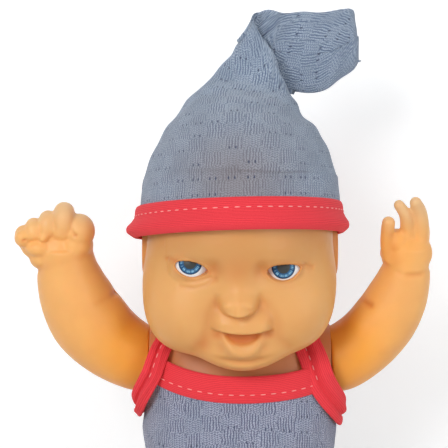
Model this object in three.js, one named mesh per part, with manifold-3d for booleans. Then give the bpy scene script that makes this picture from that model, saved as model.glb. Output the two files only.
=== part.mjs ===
// A seated vinyl baby doll in a knitted stocking cap and a knitted romper.
// Millimetres, +Z up. The doll faces -Y, and +X is to the right of someone who looks at its face.
// The origin is on the floor under the seat, a little ahead of the crotch seam.
import * as THREE from "three";
import { mergeVertices } from "three/addons/utils/BufferGeometryUtils.js";
import Module from "manifold-3d";

const wasm = await Module();
wasm.setup();

// Driving dimensions
const clearance = 0.3; // between two pieces that touch
const vinylWall = 2.4;
const clothThickness = 1.2;
const clothGap = 0.9; // between the torso and its romper
const bindingWidth = 9.6;
const bindingThickness = 1.8;

const torsoHalfWidth = 34;
const torsoHalfDepth = 26;
const torsoTop = 93.2;
const seatDrop = 4; // the doll is drawn this far above the floor, and its group sets it down
const seatHeight = seatDrop + clothThickness + clothGap;
const torsoSquareness = 2.6;
const seamBehind = 6; // from the origin back to the romper's seams and the joints' middle plane

const skullHalfWidth = 33.2;
const skullHalfDepth = 40.5;
const skullHalfHeight = 36.5;
const skullCentre = new THREE.Vector3(0, -4, 42.3); // the head and cap are drawn from the torso's top
const neckRadius = 13;
const neckHoleRadius = 9.5;

const shoulderDrop = 12.7; // from the torso's top to the shoulder's centre
const shoulderHeight = torsoTop - shoulderDrop;
const shoulderPlane = 32.4; // how far out the flat shoulder boss reaches
const armRootRadius = 12;
const armHoleRadius = 7.6;

const hipPlane = 23.4; // how far out the middle of the hip face lies
const hipHeight = 23;
const hipTilt = THREE.MathUtils.degToRad(16);
const legRootRadius = 14.4;
const legHoleRadius = 8.4;
const legTapeWidth = 4.2;

const flangeOverlap = 2.2; // how far a plug's flange is wider than its hole
const flangeThickness = 1.6;

const eyeBallRadius = 7.6;
const irisRadius = 3.9;
const irisDepth = 1.2;
const eyeBackDepth = 4.5;
const rightEye = { centre: new THREE.Vector3(-16.7, -29.6, 29), gaze: new THREE.Vector3(-0.4, -7.2, 2.3).normalize() };
const leftEye = { centre: new THREE.Vector3(14.1, -29.6, 28.2), gaze: new THREE.Vector3(0.2, -7.4, 1.6).normalize() };

const brimDrop = 8.6; // from the skull's centre down the cap's axis to the binding's lower edge
const brimTilt = THREE.MathUtils.degToRad(15);
const brimLean = THREE.MathUtils.degToRad(1.6); // the brim sits higher on the doll's left
const capEase = 0.9; // between head and cap

const vinyl = { color: 0xe6ae72, roughness: 0.45, metalness: 0 };
const knit = { color: 0x8d95a3, roughness: 0.9, metalness: 0 };
const tape = { color: 0xe83c46, roughness: 0.8, metalness: 0 };
const eyeWhite = { color: 0xf2f2ee, roughness: 0.25, metalness: 0 };
const eyeBlue = { color: 0x3f8fc0, roughness: 0.2, metalness: 0 };

const X = new THREE.Vector3(1, 0, 0);
const Y = new THREE.Vector3(0, 1, 0);
const Z = new THREE.Vector3(0, 0, 1);
const vec = (x, y, z) => new THREE.Vector3(x, y, z);

// Solids

// A closed solid from any closed geometry.
function solid(geometry) {
  const bare = geometry.clone();
  bare.deleteAttribute("normal");
  bare.deleteAttribute("uv");
  const merged = mergeVertices(bare, 1e-4);
  const faces = [];
  const corners = merged.index.array;
  for (let i = 0; i < corners.length; i += 3) {
    const [a, b, c] = corners.subarray(i, i + 3);
    if (a !== b && b !== c && c !== a) faces.push(a, b, c);
  }
  return new wasm.Manifold(
    new wasm.Mesh({
      numProp: 3,
      vertProperties: new Float32Array(merged.attributes.position.array),
      triVerts: new Uint32Array(faces),
    }),
  );
}

function geometryOf(body) {
  const mesh = body.getMesh();
  const geometry = new THREE.BufferGeometry();
  const places = new Float32Array(mesh.numVert * 3);
  for (let i = 0; i < mesh.numVert; i++) {
    const at = i * mesh.numProp;
    places.set(mesh.vertProperties.subarray(at, at + 3), i * 3);
  }
  geometry.setAttribute("position", new THREE.BufferAttribute(places, 3));
  geometry.setIndex(new THREE.BufferAttribute(new Uint32Array(mesh.triVerts), 1));
  geometry.computeVertexNormals();
  return geometry;
}

// A skin over rings of points, closed by a fan at each end, or joined end to end where looped.
function skin(rings, looped = false) {
  const around = rings[0].length;
  const points = rings.flat();
  const faces = [];
  const last = looped ? rings.length : rings.length - 1;
  for (let j = 0; j < last; j++) {
    const here = j * around;
    const next = ((j + 1) % rings.length) * around;
    for (let i = 0; i < around; i++) {
      const k = (i + 1) % around;
      faces.push(here + i, here + k, next + k, here + i, next + k, next + i);
    }
  }
  if (!looped) {
    const middles = [rings[0], rings[rings.length - 1]].map((ring) =>
      ring.reduce((sum, p) => sum.add(p), vec(0, 0, 0)).divideScalar(around),
    );
    const first = points.push(middles[0]) - 1;
    const end = points.push(middles[1]) - 1;
    const top = (rings.length - 1) * around;
    for (let i = 0; i < around; i++) {
      const k = (i + 1) % around;
      faces.push(first, k, i, end, top + i, top + k);
    }
  }
  const geometry = new THREE.BufferGeometry().setFromPoints(points);
  geometry.setIndex(faces);
  const made = solid(geometry);
  if (made.volume() > 0) return made;
  for (let i = 0; i < faces.length; i += 3) [faces[i], faces[i + 1]] = [faces[i + 1], faces[i]];
  geometry.setIndex(faces);
  return solid(geometry);
}

// A thin sheet between two grids of points, outside and inside, with its rim closed.
function sheet(outside, inside) {
  const rows = outside.length;
  const columns = outside[0].length;
  const rings = [];
  for (let j = 0; j < rows; j++) rings.push([...outside[j], ...[...inside[j]].reverse()]);
  const around = columns * 2;
  const points = rings.flat();
  const faces = [];
  for (let j = 0; j < rows - 1; j++) {
    for (let i = 0; i < around; i++) {
      const k = (i + 1) % around;
      const here = j * around;
      const next = here + around;
      faces.push(here + i, here + k, next + k, here + i, next + k, next + i);
    }
  }
  for (const [row, turned] of [[0, true], [rows - 1, false]]) {
    const start = row * around;
    for (let i = 0; i < columns - 1; i++) {
      const a = start + i;
      const b = start + i + 1;
      const c = start + around - 2 - i;
      const d = start + around - 1 - i;
      if (turned) faces.push(a, c, b, a, d, c);
      else faces.push(a, b, c, a, c, d);
    }
  }
  const geometry = new THREE.BufferGeometry().setFromPoints(points);
  geometry.setIndex(faces);
  const made = solid(geometry);
  if (made.volume() > 0) return made;
  for (let i = 0; i < faces.length; i += 3) [faces[i], faces[i + 1]] = [faces[i + 1], faces[i]];
  geometry.setIndex(faces);
  return solid(geometry);
}

// A turned piece along any axis, from pairs of radius and place along it, in rising order.
function turned(centre, axis, profile, sides) {
  const points = profile.map(([radius, along]) => new THREE.Vector2(radius, along));
  const geometry = new THREE.LatheGeometry(points, sides);
  geometry.applyQuaternion(new THREE.Quaternion().setFromUnitVectors(Y, axis));
  geometry.translate(centre.x, centre.y, centre.z);
  return solid(geometry);
}

// A cylinder along any axis, from one distance to another along it.
function rod(centre, axis, from, to, radius, sides = 18) {
  const geometry = new THREE.CylinderGeometry(radius, radius, to - from, sides);
  geometry.translate(0, (from + to) / 2, 0);
  geometry.applyQuaternion(new THREE.Quaternion().setFromUnitVectors(Y, axis));
  geometry.translate(centre.x, centre.y, centre.z);
  return solid(geometry);
}

function ball(centre, radii, around = 12, down = 7) {
  const geometry = new THREE.SphereGeometry(1, around, down);
  geometry.scale(radii.x, radii.y, radii.z);
  geometry.translate(centre.x, centre.y, centre.z);
  return solid(geometry);
}

// A round tube with round ends whose radius runs from one end to the other: a finger or a toe.
function finger(from, to, startRadius, endRadius, sides = 7) {
  const along = to.clone().sub(from);
  const length = along.length();
  const profile = [new THREE.Vector2(0, -startRadius)];
  const capSteps = 2;
  for (let i = 1; i <= capSteps; i++) {
    const a = ((i / capSteps - 1) * Math.PI) / 2;
    profile.push(new THREE.Vector2(startRadius * Math.cos(a), startRadius * Math.sin(a)));
  }
  for (let i = 0; i < capSteps; i++) {
    const a = ((i / capSteps) * Math.PI) / 2;
    profile.push(new THREE.Vector2(endRadius * Math.cos(a), length + endRadius * Math.sin(a)));
  }
  profile.push(new THREE.Vector2(0, length + endRadius));
  const geometry = new THREE.LatheGeometry(profile, sides);
  geometry.applyQuaternion(new THREE.Quaternion().setFromUnitVectors(Y, along.normalize()));
  geometry.translate(from.x, from.y, from.z);
  return solid(geometry);
}

// A limb: rings square to a smooth path, each as wide as the radius given there.
function limb(stations, grow, steps, sides, from = 0, to = 1) {
  const square = from === 0 && stations[0].at.y === 0; // an arm starts square to its joint
  const path = new THREE.CatmullRomCurve3(stations.map((s) => s.at), false, "centripetal");
  const sizes = new THREE.CatmullRomCurve3(stations.map((s) => vec(s.radius, s.flat ?? s.radius, 0)));
  const rings = [];
  for (let j = 0; j <= steps; j++) {
    const t = from + ((to - from) * j) / steps;
    const centre = path.getPoint(t);
    const along = j === 0 && square ? X.clone() : path.getTangent(t);
    const size = sizes.getPoint(t);
    const guide = Math.abs(along.y) > 0.8 ? X : Y;
    const side = guide.clone().addScaledVector(along, -guide.dot(along)).normalize();
    const up = along.clone().cross(side);
    const ring = [];
    for (let i = 0; i < sides; i++) {
      const a = (i / sides) * Math.PI * 2;
      ring.push(
        centre
          .clone()
          .addScaledVector(side, Math.cos(a) * (size.y + grow))
          .addScaledVector(up, Math.sin(a) * (size.x + grow)),
      );
    }
    rings.push(ring);
  }
  return skin(rings);
}

// Torso

// Half width, half depth and height of the torso's rings, as shares of the driving sizes.
const torsoRings = [
  [0.02, 0.02, 0],
  [0.4, 0.5, 0],
  [0.62, 0.74, 0.012],
  [0.78, 0.9, 0.06],
  [0.92, 1, 0.14],
  [0.985, 1.03, 0.26],
  [1, 1.02, 0.4],
  [0.985, 0.98, 0.53],
  [0.96, 0.92, 0.66],
  [0.935, 0.84, 0.79],
  [0.915, 0.74, 0.88],
  [0.86, 0.62, 0.95],
  [0.72, 0.5, 0.988],
  [0.45, 0.42, 1],
];
const torsoProfile = new THREE.CatmullRomCurve3(
  torsoRings.map(([w, d, h]) =>
    vec(w * torsoHalfWidth, d * torsoHalfDepth, seatHeight + h * (torsoTop - seatHeight)),
  ),
);
const bellyShare = 1.05; // the front is deeper than the back

// How far out the hip face lies at a height; the torso is flat there.
const hipLimit = (height) => hipPlane + (height - hipHeight) * Math.tan(hipTilt);

// A place on the torso's section at a height along its profile, by angle: 0 is +X, and 90 degrees the back.
function torsoPlace(along, angle, grow) {
  const size = torsoProfile.getPoint(along);
  const c = Math.cos(angle);
  const s = Math.sin(angle);
  const power = 2 / torsoSquareness;
  const spread = grow * Math.min(1, along / seatShare);
  const width = Math.max(smallest, size.x + spread);
  const depth = Math.max(smallest, (size.y + spread) * (s < 0 ? bellyShare : 2 - bellyShare));
  const sink = grow * (1 - THREE.MathUtils.smoothstep(along, seatShare, 2 * seatShare));
  const rise = grow * THREE.MathUtils.smoothstep(along, 0.88, 1);
  const height = Math.max(size.z, seatHeight) - sink + rise;
  const widest = hipLimit(height) + grow / Math.cos(hipTilt);
  return vec(
    Math.sign(c) * Math.min(Math.abs(c) ** power * width, widest),
    Math.sign(s) * Math.abs(s) ** power * depth,
    height,
  );
}
const seatShare = 0.13; // of the profile, where it turns from the flat seat to the sides
const smallest = 0.2; // the half size of the torso's section at its poles

function torsoBody(grow, steps, sides) {
  const rings = [];
  for (let j = 0; j <= steps; j++) {
    const ring = [];
    for (let i = 0; i < sides; i++) ring.push(torsoPlace(j / steps, (i / sides) * Math.PI * 2, grow));
    rings.push(ring);
  }
  return skin(rings);
}

const hipAxis = (side) => vec(side * Math.cos(hipTilt), 0, -Math.sin(hipTilt));
const hipCentre = (side) => vec(side * hipPlane, -1, hipHeight);
const shoulderCentre = (side) => vec(side * shoulderPlane, 0, shoulderHeight);
function makeTorso() {
  const pocketEase = 1;
  const armDepth = 14; // how far in the shoulder's and the neck's cuts reach
  const legDepth = 9;
  const proud = 1; // how far a hole's cut starts outside its face
  const pocketTop = -vinylWall + 0.2; // a flange's pocket bites a little into the wall
  let body = torsoBody(0, 15, 24);
  const hollow = torsoBody(-vinylWall, 8, 14);
  for (const side of [-1, 1]) {
    const shoulder = shoulderCentre(side);
    const out = X.clone().multiplyScalar(side);
    body = body.add(rod(shoulder, out, 2 - armDepth, 0, armRootRadius));
  }
  body = body.subtract(hollow);
  for (const side of [-1, 1]) {
    const out = X.clone().multiplyScalar(side);
    const shoulder = shoulderCentre(side);
    const armPocket = armHoleRadius + flangeOverlap + pocketEase;
    body = body.subtract(rod(shoulder, out, -armDepth, pocketTop, armPocket));
    body = body.subtract(rod(shoulder, out, -armDepth, proud, armHoleRadius));
    const hip = hipCentre(side);
    const legPocket = legHoleRadius + flangeOverlap + pocketEase;
    body = body.subtract(rod(hip, hipAxis(side), -legDepth, pocketTop, legPocket));
    body = body.subtract(rod(hip, hipAxis(side), -legDepth, proud, legHoleRadius));
  }
  const neck = vec(0, 0, torsoTop);
  const neckPocket = neckHoleRadius + flangeOverlap + pocketEase;
  body = body.subtract(rod(neck, Z, -armDepth, pocketTop, neckPocket));
  return body.subtract(rod(neck, Z, -armDepth, proud, neckHoleRadius));
}

// A moulded plug: a root outside the wall, a stem through its hole and a wider flange behind it.
function plug(foot, axis, holeRadius, gap, root, sides) {
  const stemEnd = -vinylWall - gap;
  const flangeEnd = stemEnd - flangeThickness;
  const profile = [
    [0, flangeEnd],
    [holeRadius + flangeOverlap, flangeEnd],
    [holeRadius + flangeOverlap, stemEnd],
    [holeRadius - clearance, stemEnd],
    [holeRadius - clearance, root.start],
    [root.radius, root.start],
    [root.radius, root.length],
    [0, root.length],
  ];
  return turned(foot, axis, profile, sides);
}

// Limbs are drawn in their own frame: the joint is at the origin and +X leads out of the body.
function hollowLimb(stations, rootRadius, holeRadius, parts) {
  const bore = holeRadius - clearance - vinylWall;
  const inboard = rod(vec(0, 0, 0), X, -20, clearance + 0.2, 40);
  const root = { start: clearance, length: 2, radius: rootRadius };
  let body = limb(stations, 0, 13, 14).subtract(inboard);
  body = body.add(plug(vec(0, 0, 0), X, holeRadius, clearance, root, 18));
  for (const part of parts) body = body.add(part);
  body = body.subtract(limb(stations, -vinylWall, 7, 8, 0.12, 0.86));
  return body.subtract(rod(vec(0, 0, 0), X, -10, 10, bore, 12));
}

const station = (x, y, z, radius, flat) => ({ at: vec(x, y, z), radius, flat });

// Both arms are bent up at the elbow; z is counted from the shoulder's centre.
// The closed-fist arm is stouter than the open-handed one.
function armStations(stouter) {
  const grown = (x, y, z, radius, flat, share) =>
    station(x + share * stouter, y, z, radius + share * stouter, (flat ?? radius) + share * stouter);
  return [
    grown(clearance, 0, 0, armRootRadius - 0.4, undefined, 0),
    grown(3.5, 0, 0.2, armRootRadius, undefined, 0),
    grown(12.5, -1, 6, 12.4, undefined, 0.6),
    grown(20, -2, 14.5, 12.7, undefined, 1),
    grown(24.6, -3, 23.5, 11.8, undefined, 1),
    grown(26.6, -4, 31.5, 10.6, undefined, 1),
    grown(27.4, -5, 38, 9.2, undefined, 1),
    grown(28.2, -6, 44, 8.8, 8, 1),
  ];
}

function rightArm() {
  const palm = vec(33.5, -6, 46);
  const thumbMound = vec(24.2, -8.5, 48.8);
  const parts = [ball(palm, vec(12.2, 9, 9.6), 14, 10), ball(thumbMound, vec(5.4, 6.4, 5.8), 12, 8)];
  const fingerRadius = 3.1;
  for (let i = 0; i < 4; i++) {
    const knuckle = vec(43.4 - i * 4.85, -8.5, 48.8 + i * 2.3);
    const tip = vec(knuckle.x - 0.4, -14, knuckle.z - 2.4 - i);
    parts.push(finger(knuckle, tip, fingerRadius, fingerRadius - 0.3));
  }
  return hollowLimb(armStations(1.3), armRootRadius - 1.2, armHoleRadius, parts);
}

function leftArm() {
  const palm = vec(25.8, -6, 44.6);
  const parts = [ball(palm, vec(9.2, 7, 9.6), 14, 10)];
  const tips = [
    [31.6, -9, 52.6],
    [28.4, -9.5, 59.2],
    [23.2, -9, 58],
    [19.4, -9, 52.8],
  ];
  tips.forEach(([x, y, z], i) => {
    const root = vec(31.2 - i * 3.8, -6.5, 48);
    parts.push(finger(root, vec(x, y, z), 3.3, 2.3));
  });
  parts.push(finger(vec(22, -9, 42), vec(19, -12.5, 48), 3.4, 2.6));
  return hollowLimb(armStations(-1), armRootRadius - 1.2, armHoleRadius, parts);
}

// Both legs lie forward along the floor, bent a little at the knee, toes up.
// The thigh passes just clear of the tape that lies on the hip face.
const thighRadius = 12.7;
const thighOut = thighRadius + bindingThickness + 3 * clearance;
const legStations = [
  station(thighOut, 14, 0.4, 3),
  station(thighOut, 12.6, 0.4, 7.4),
  station(thighOut, 8, 0.4, 12.4),
  station(thighOut, 0, 0.4, legRootRadius + 0.2, thighRadius),
  station(thighOut + 0.4, -12, 1, thighRadius + 0.3, thighRadius),
  station(thighOut + 1.4, -24, 1.8, 12.8),
  station(thighOut + 2.6, -33, 2.4, 12),
  station(thighOut + 4, -43, 1.6, 12.2, 12),
  station(thighOut + 5.8, -54, -0.6, 10.4),
  station(thighOut + 7, -61, -1.6, 8.8),
  station(thighOut + 7.6, -65, -2, 8.4),
];

function leg() {
  const heel = vec(thighOut + 8.4, -68.5, -3.4);
  const toes = vec(thighOut + 11, -74, 17.2);
  const parts = [
    rod(vec(0, 0, 0), X, 1, thighOut, legRootRadius - 0.1, 24),
    finger(heel, vec(heel.x + 1.8, heel.y - 3.5, heel.z + 14.6), 8, 7.6, 12),
    ball(vec(heel.x + 1.6, heel.y - 3.5, heel.z + 16.6), vec(9.4, 6, 7), 12, 7),
  ];
  const toeStep = 3.5;
  for (let i = 0; i < 5; i++) {
    const size = i === 0 ? 3 : 2.4;
    const drop = Math.abs(i - 1) * 0.7;
    const across = toes.x + (i - 2) * toeStep;
    parts.push(finger(vec(across, toes.y, toes.z - drop), vec(across, toes.y - 1, toes.z + 3.4 - drop), size, size - 0.2, 6));
  }
  return hollowLimb(legStations, legRootRadius, legHoleRadius, parts);
}

// Head

// Roughly the distance from a point to an ellipsoid's skin, less than zero inside.
function eggDistance(p, centre, radii) {
  const q = p.clone().sub(centre);
  const near = q.clone().divide(radii).length();
  const slope = q.clone().divide(radii).divide(radii).length();
  return slope === 0 ? -Math.min(radii.x, radii.y, radii.z) : (near * (near - 1)) / slope;
}

const headLumps = [
  { at: skullCentre, size: vec(skullHalfWidth - 1.2, skullHalfDepth - 1.2, skullHalfHeight - 1.2) },
  { at: vec(-0.3, -13, 21), size: vec(31.5, 24, 20) },
  { at: vec(-20, -22.5, 11.8), size: vec(11.4, 13.5, 13) },
  { at: vec(18.8, -22.5, 12.2), size: vec(11.4, 13.5, 13) },
  { at: vec(1.6, -29, 1.6), size: vec(13, 10, 9.4) },
];
const lumpBlend = 0.22; // per millimetre: a larger one blends less

// The underside slopes up from the chin to the neck, so that the head can turn over the shoulders.
const undersideAtNeck = 9.3;
const undersideSlope = 0.55;
const napeHeight = 5.7;
const napeSlope = 0.1;

function headDistance(p) {
  let sum = 0;
  for (const lump of headLumps) sum += Math.exp(-lumpBlend * eggDistance(p, lump.at, lump.size));
  const outside = -Math.log(sum) / lumpBlend;
  const chinFree = THREE.MathUtils.smoothstep(-p.y, 20, 30) * 30;
  const napeStart = (napeHeight - undersideAtNeck) / undersideSlope;
  const ahead = Math.min(p.y - napeStart, 0);
  const behind = Math.max(p.y - napeStart, 0);
  const floor = napeHeight + undersideSlope * ahead + napeSlope * behind;
  const under = (floor - chinFree - p.z) * 0.87;
  const firmness = 0.5;
  return Math.log(Math.exp(firmness * outside) + Math.exp(firmness * under)) / firmness;
}

// How far out the head's skin lies from a centre, along a direction.
function headReach(centre, direction, depth) {
  let near = 0;
  let far = 75;
  for (let i = 0; i < 22; i++) {
    const middle = (near + far) / 2;
    const p = centre.clone().addScaledVector(direction, middle);
    if (headDistance(p) < -depth) near = middle;
    else far = middle;
  }
  return near;
}

const bump = (x, z, atX, atZ, wide, high) =>
  Math.exp(-(((x - atX) / wide) ** 2) - ((z - atZ) / high) ** 2);

// Moulded features: how far the skin comes forward (or sinks) at a place of the face.
function faceRelief(x, z) {
  let out = 0;
  out += 6.2 * bump(x, z, -0.7, 18.2, 5, 4.2);
  out += 2.4 * bump(x, z, -0.8, 24.8, 4, 6);
  out += 2.4 * bump(x, z, -5.8, 17.2, 2.8, 2.8);
  out += 2.4 * bump(x, z, 4.2, 17.2, 2.8, 2.8);
  out += 2.6 * bump(x, z, 0, 10.6, 9, 3.4);
  out += 2 * bump(x, z, 0.3, 2.4, 8, 2.6);
  out -= 2.4 * bump(x, z, 0.2, 6.2, 8.5, 1.6);
  out -= 1.8 * bump(x, z, 0.5, -1.4, 9, 2);
  for (const { centre } of [rightEye, leftEye]) {
    out -= 2.4 * bump(x, z, centre.x, centre.z - 0.8, 8, 4.6);
    out += 0.9 * bump(x, z, centre.x, centre.z + 4.6, 8, 2.4);
  }
  return out;
}

function headSkin(around, steps, depth, crowding) {
  const middle = vec(0, -4, 28.8);
  const rings = [];
  for (let j = 0; j <= steps; j++) {
    const polar = Math.PI * Math.min(0.998, Math.max(0.006, (j / steps) ** crowding));
    const ring = [];
    for (let i = 0; i < around; i++) {
      const a = (i / around) * Math.PI * 2;
      const direction = vec(
        Math.sin(polar) * Math.cos(a),
        -Math.cos(polar),
        Math.sin(polar) * Math.sin(a),
      );
      const reach = headReach(middle, direction, depth);
      const p = middle.clone().addScaledVector(direction, reach);
      const facing = THREE.MathUtils.smoothstep(-direction.y, 0.15, 0.6);
      p.y -= faceRelief(p.x, p.z) * facing;
      ring.push(p);
    }
    rings.push(ring);
  }
  return skin(rings);
}

const forward = vec(0, -1, 0);
const beyond = 30; // longer than the thing that is cut

function makeHead() {
  const neckFoot = vec(0, 0, clearance);
  let body = headSkin(34, 23, 0, 1.4);
  const neck = { start: 0, length: 14, radius: neckRadius };
  body = body.add(plug(neckFoot, Z, neckHoleRadius, 2 * clearance, neck, 18));
  for (const side of [-1, 1]) {
    body = body.add(ball(vec(side * 32.8, 1.8, 22.6), vec(3.8, 5.8, 7.2), 12, 8));
  }
  const headWall = vinylWall + 1.6; // the inside is a plainer form, so its wall is drawn thicker
  let hollow = headSkin(12, 8, headWall, 1.1);
  for (const { centre } of [rightEye, leftEye]) {
    const pocket = eyeBallRadius + clearance;
    const wallRound = pocket + vinylWall;
    hollow = hollow.subtract(rod(centre, forward, -eyeBackDepth - vinylWall, beyond, wallRound, 16));
  }
  hollow = hollow.add(rod(neckFoot, Z, -beyond, beyond, neckHoleRadius - clearance - vinylWall, 16));
  body = body.subtract(hollow);
  for (const { centre } of [rightEye, leftEye]) body = body.subtract(eyeSocket(centre));
  return body;
}

// The socket is a ball's space with a flat back, open to the front through the lids.
function eyeSocket(centre) {
  const size = eyeBallRadius + clearance;
  const round = ball(centre, vec(size, size, size), 16, 10);
  return round.subtract(rod(centre, forward, -beyond, -eyeBackDepth - clearance, beyond, 12));
}

function eyeBall(centre) {
  const round = ball(centre, vec(eyeBallRadius, eyeBallRadius, eyeBallRadius), 16, 10);
  return round.subtract(rod(centre, forward, -beyond, -eyeBackDepth, beyond, 12));
}

// The iris is a button set flush in the front of the eye, where the eye looks.
function irisSeat(eye, ease) {
  const low = eyeBallRadius - irisDepth - ease;
  return rod(eye.centre, eye.gaze, low - irisRise, eyeBallRadius + 2, irisRadius + ease, 16);
}
const irisRise = 1.1; // the ball curves back by this much at the iris's rim

function makeEye(eye) {
  return eyeBall(eye.centre).subtract(irisSeat(eye, clearance));
}

function makeIris(eye) {
  return eyeBall(eye.centre).intersect(irisSeat(eye, 0));
}

// Cap

// The cap's opening is an oval in a plane that tips back, as wide as the head above it.
const capAxis = vec(0, Math.sin(brimTilt), Math.cos(brimTilt));
const capForward = vec(0, -Math.cos(brimTilt), Math.sin(brimTilt));
const capAcross = vec(Math.cos(brimLean), 0, Math.sin(brimLean));
const brimCentre = skullCentre.clone().addScaledVector(capAxis, -brimDrop);
const capHalfWidth = skullHalfWidth + capEase;
const skullDepthAcross = Math.hypot(
  skullHalfDepth * Math.cos(brimTilt),
  skullHalfHeight * Math.sin(brimTilt),
);
const capHalfDepth = skullDepthAcross + capEase;

function capRing(rise, grow, sides, shrink = 1) {
  const ring = [];
  for (let i = 0; i < sides; i++) {
    const a = (i / sides) * Math.PI * 2;
    ring.push(
      brimCentre
        .clone()
        .addScaledVector(capAxis, rise)
        .addScaledVector(capAcross, Math.cos(a) * (capHalfWidth * shrink + grow))
        .addScaledVector(capForward, Math.sin(a) * (capHalfDepth * shrink + grow)),
    );
  }
  return ring;
}

// A ring of the soft cone or tail: a flattened oval between two edges of the cap's silhouette.
function foldRing(left, right, thickness, sides, crease) {
  const middle = left.clone().add(right).multiplyScalar(0.5);
  const across = right.clone().sub(left).multiplyScalar(0.5);
  const through = crease.clone().normalize().multiplyScalar(thickness / 2);
  const ring = [];
  for (let i = 0; i < sides; i++) {
    const a = (i / sides) * Math.PI * 2;
    ring.push(
      middle.clone().addScaledVector(across, Math.cos(a)).addScaledVector(through, Math.sin(a)),
    );
  }
  return ring;
}

// Edges of the cap above the crown: left end, right end, thickness, and the way its front faces.
const capFolds = [
  [[-33.4, -2.4, 55.8], [33.6, -2.4, 54.8], 82, [0, -1, 0.24]],
  [[-30.8, -1.6, 63.8], [31, -1.6, 62.8], 75, [0, -1, 0.22]],
  [[-26.6, -1.2, 71.8], [27.2, -1.2, 70.3], 63, [0, -1, 0.2]],
  [[-21.4, -0.6, 78.2], [23, -0.6, 76.4], 48, [0, -1, 0.2]],
  [[-15.8, 1, 85], [19.8, 0.6, 81.4], 27, [0, -1, 0.2]],
  [[-10.4, 3, 90.8], [17.8, 2, 85], 14, [0, -1, 0.1]],
  [[-6, 4.6, 94.2], [14.6, 2, 89.8], 9, [0, -1, 0]],
  [[-2.2, 6, 97.8], [11.4, 3, 95.6], 7, [0, -1, 0]],
  [[1.6, 7.5, 102.8], [8.6, 5, 104.2], 6, [0.3, -1, 0.4]],
];
const tailFolds = [
  [[4.4, 9.5, 91.2], [9.6, 8, 110.6], 6, [-0.7, 0, 0.7]],
  [[9, 12.5, 84.3], [15.5, 11.5, 110.6], 6, [0, 1, 0]],
  [[20, 13, 81.4], [23, 12.5, 110.6], 6.5, [0, 1, 0]],
  [[31, 13, 83.2], [32, 12.5, 110.6], 6, [0, 1, 0]],
  [[42.6, 12.5, 92.4], [40, 12, 111.8], 4.6, [0, 1, 0]],
];

const capSides = 32;
const brimFlare = 1.2; // how far the tape's lower edge rolls out
const bindingGroove = 4; // how deep the knit's edge sits between the tape's two leaves
const knitFoot = bindingWidth - bindingGroove;

function makeCap() {
  const sides = capSides;
  const inner = [];
  const crownRoom = skullHalfHeight + 4 * capEase;
  for (const share of [0.985, 0.93, 0.8, 0.6, 0.35]) {
    inner.push(capRing(brimDrop + crownRoom * share, 0, sides, Math.sqrt(1 - share * share)));
  }
  inner.push(capRing(bindingWidth + 1, 0, sides), capRing(knitFoot, 0, sides));
  const outer = [
    capRing(knitFoot, clothThickness, sides),
    capRing(bindingWidth + 2, clothThickness, sides),
    capRing(bindingWidth + 9, clothThickness, sides, 0.985),
  ];
  for (const [left, right, thickness, crease] of [...capFolds, ...tailFolds]) {
    outer.push(foldRing(vec(...left), vec(...right), thickness, sides, vec(...crease)));
  }
  return skin([...inner, ...outer]);
}

function makeCapBinding() {
  const leaf = bindingThickness / 2;
  const between = clothThickness + clearance;
  const inside = -clearance - leaf;
  const outside = between + leaf;
  const section = [
    [0, outside * 0.7 + brimFlare],
    [1.2, outside + brimFlare],
    [bindingWidth * 0.45, outside],
    [bindingWidth, outside],
    [bindingWidth, between],
    [knitFoot - clearance, between],
    [knitFoot - clearance, -clearance],
    [bindingWidth, -clearance],
    [bindingWidth, inside],
    [0, inside],
  ];
  return skin(section.map(([rise, grow]) => capRing(rise, grow, capSides)), true);
}

// Romper

// The top edge of a panel dips in the middle, under its tape.
const tapeDrop = 22; // from the torso's top down to the chest tape's lower edge
const tapeLow = torsoTop - tapeDrop;
const tapeDip = 5;
const chestTapeReach = 24.6;
const tapeEdge = (x) => tapeLow + tapeDip * (x / (chestTapeReach + 2)) ** 2;
const strapLow = 21.8; // from the shoulder's centre to the middle of the tape under the arm
const profileAt = (height) => {
  let low = 0;
  let high = 1;
  for (let i = 0; i < 20; i++) {
    const middle = (low + high) / 2;
    if (torsoProfile.getPoint(middle).z < height) low = middle;
    else high = middle;
  }
  return low;
};

// The panel's top edge: under its tape in the middle, and falling to the strap's tape at the sides.
const strapFoot = shoulderHeight - strapLow - bindingWidth / 2 - clearance;
function panelTop(angle) {
  const x = torsoPlace(0.75, angle, 0).x;
  const aside = THREE.MathUtils.smoothstep(Math.abs(x), chestTapeReach, torsoHalfWidth * 0.935);
  return THREE.MathUtils.lerp(tapeEdge(Math.min(Math.abs(x), chestTapeReach)) - 2 * clearance, strapFoot, aside);
}

// A grid of points over the torso, from the crotch to the panel's top edge, moved outwards.
function panelGrid(front, out, rows, columns) {
  const grid = [];
  const start = 0.002;
  const turn = front ? -1 : 1;
  for (let j = 0; j <= rows; j++) {
    const row = [];
    for (let i = 0; i <= columns; i++) {
      const angle = turn * Math.PI * (i / columns);
      const along = start + (profileAt(panelTop(angle)) - start) * (j / rows);
      const p = torsoPlace(along, angle, out);
      const seam = clearance / 2;
      p.y = turn * Math.max(turn * p.y, seam);
      row.push(p);
    }
    grid.push(row);
  }
  return grid;
}

function makePanel(front) {
  const rows = 13;
  const columns = 12;
  let panel = sheet(
    panelGrid(front, clothGap + clothThickness, rows, columns),
    panelGrid(front, clothGap, rows, columns),
  );
  panel = panel.subtract(torsoBody(clearance, 15, 24));
  for (const side of [-1, 1]) {
    panel = panel.subtract(rod(hipCentre(side), hipAxis(side), -6, 6, legTapeOuter + clearance, 28));
  }
  return panel;
}

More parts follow.
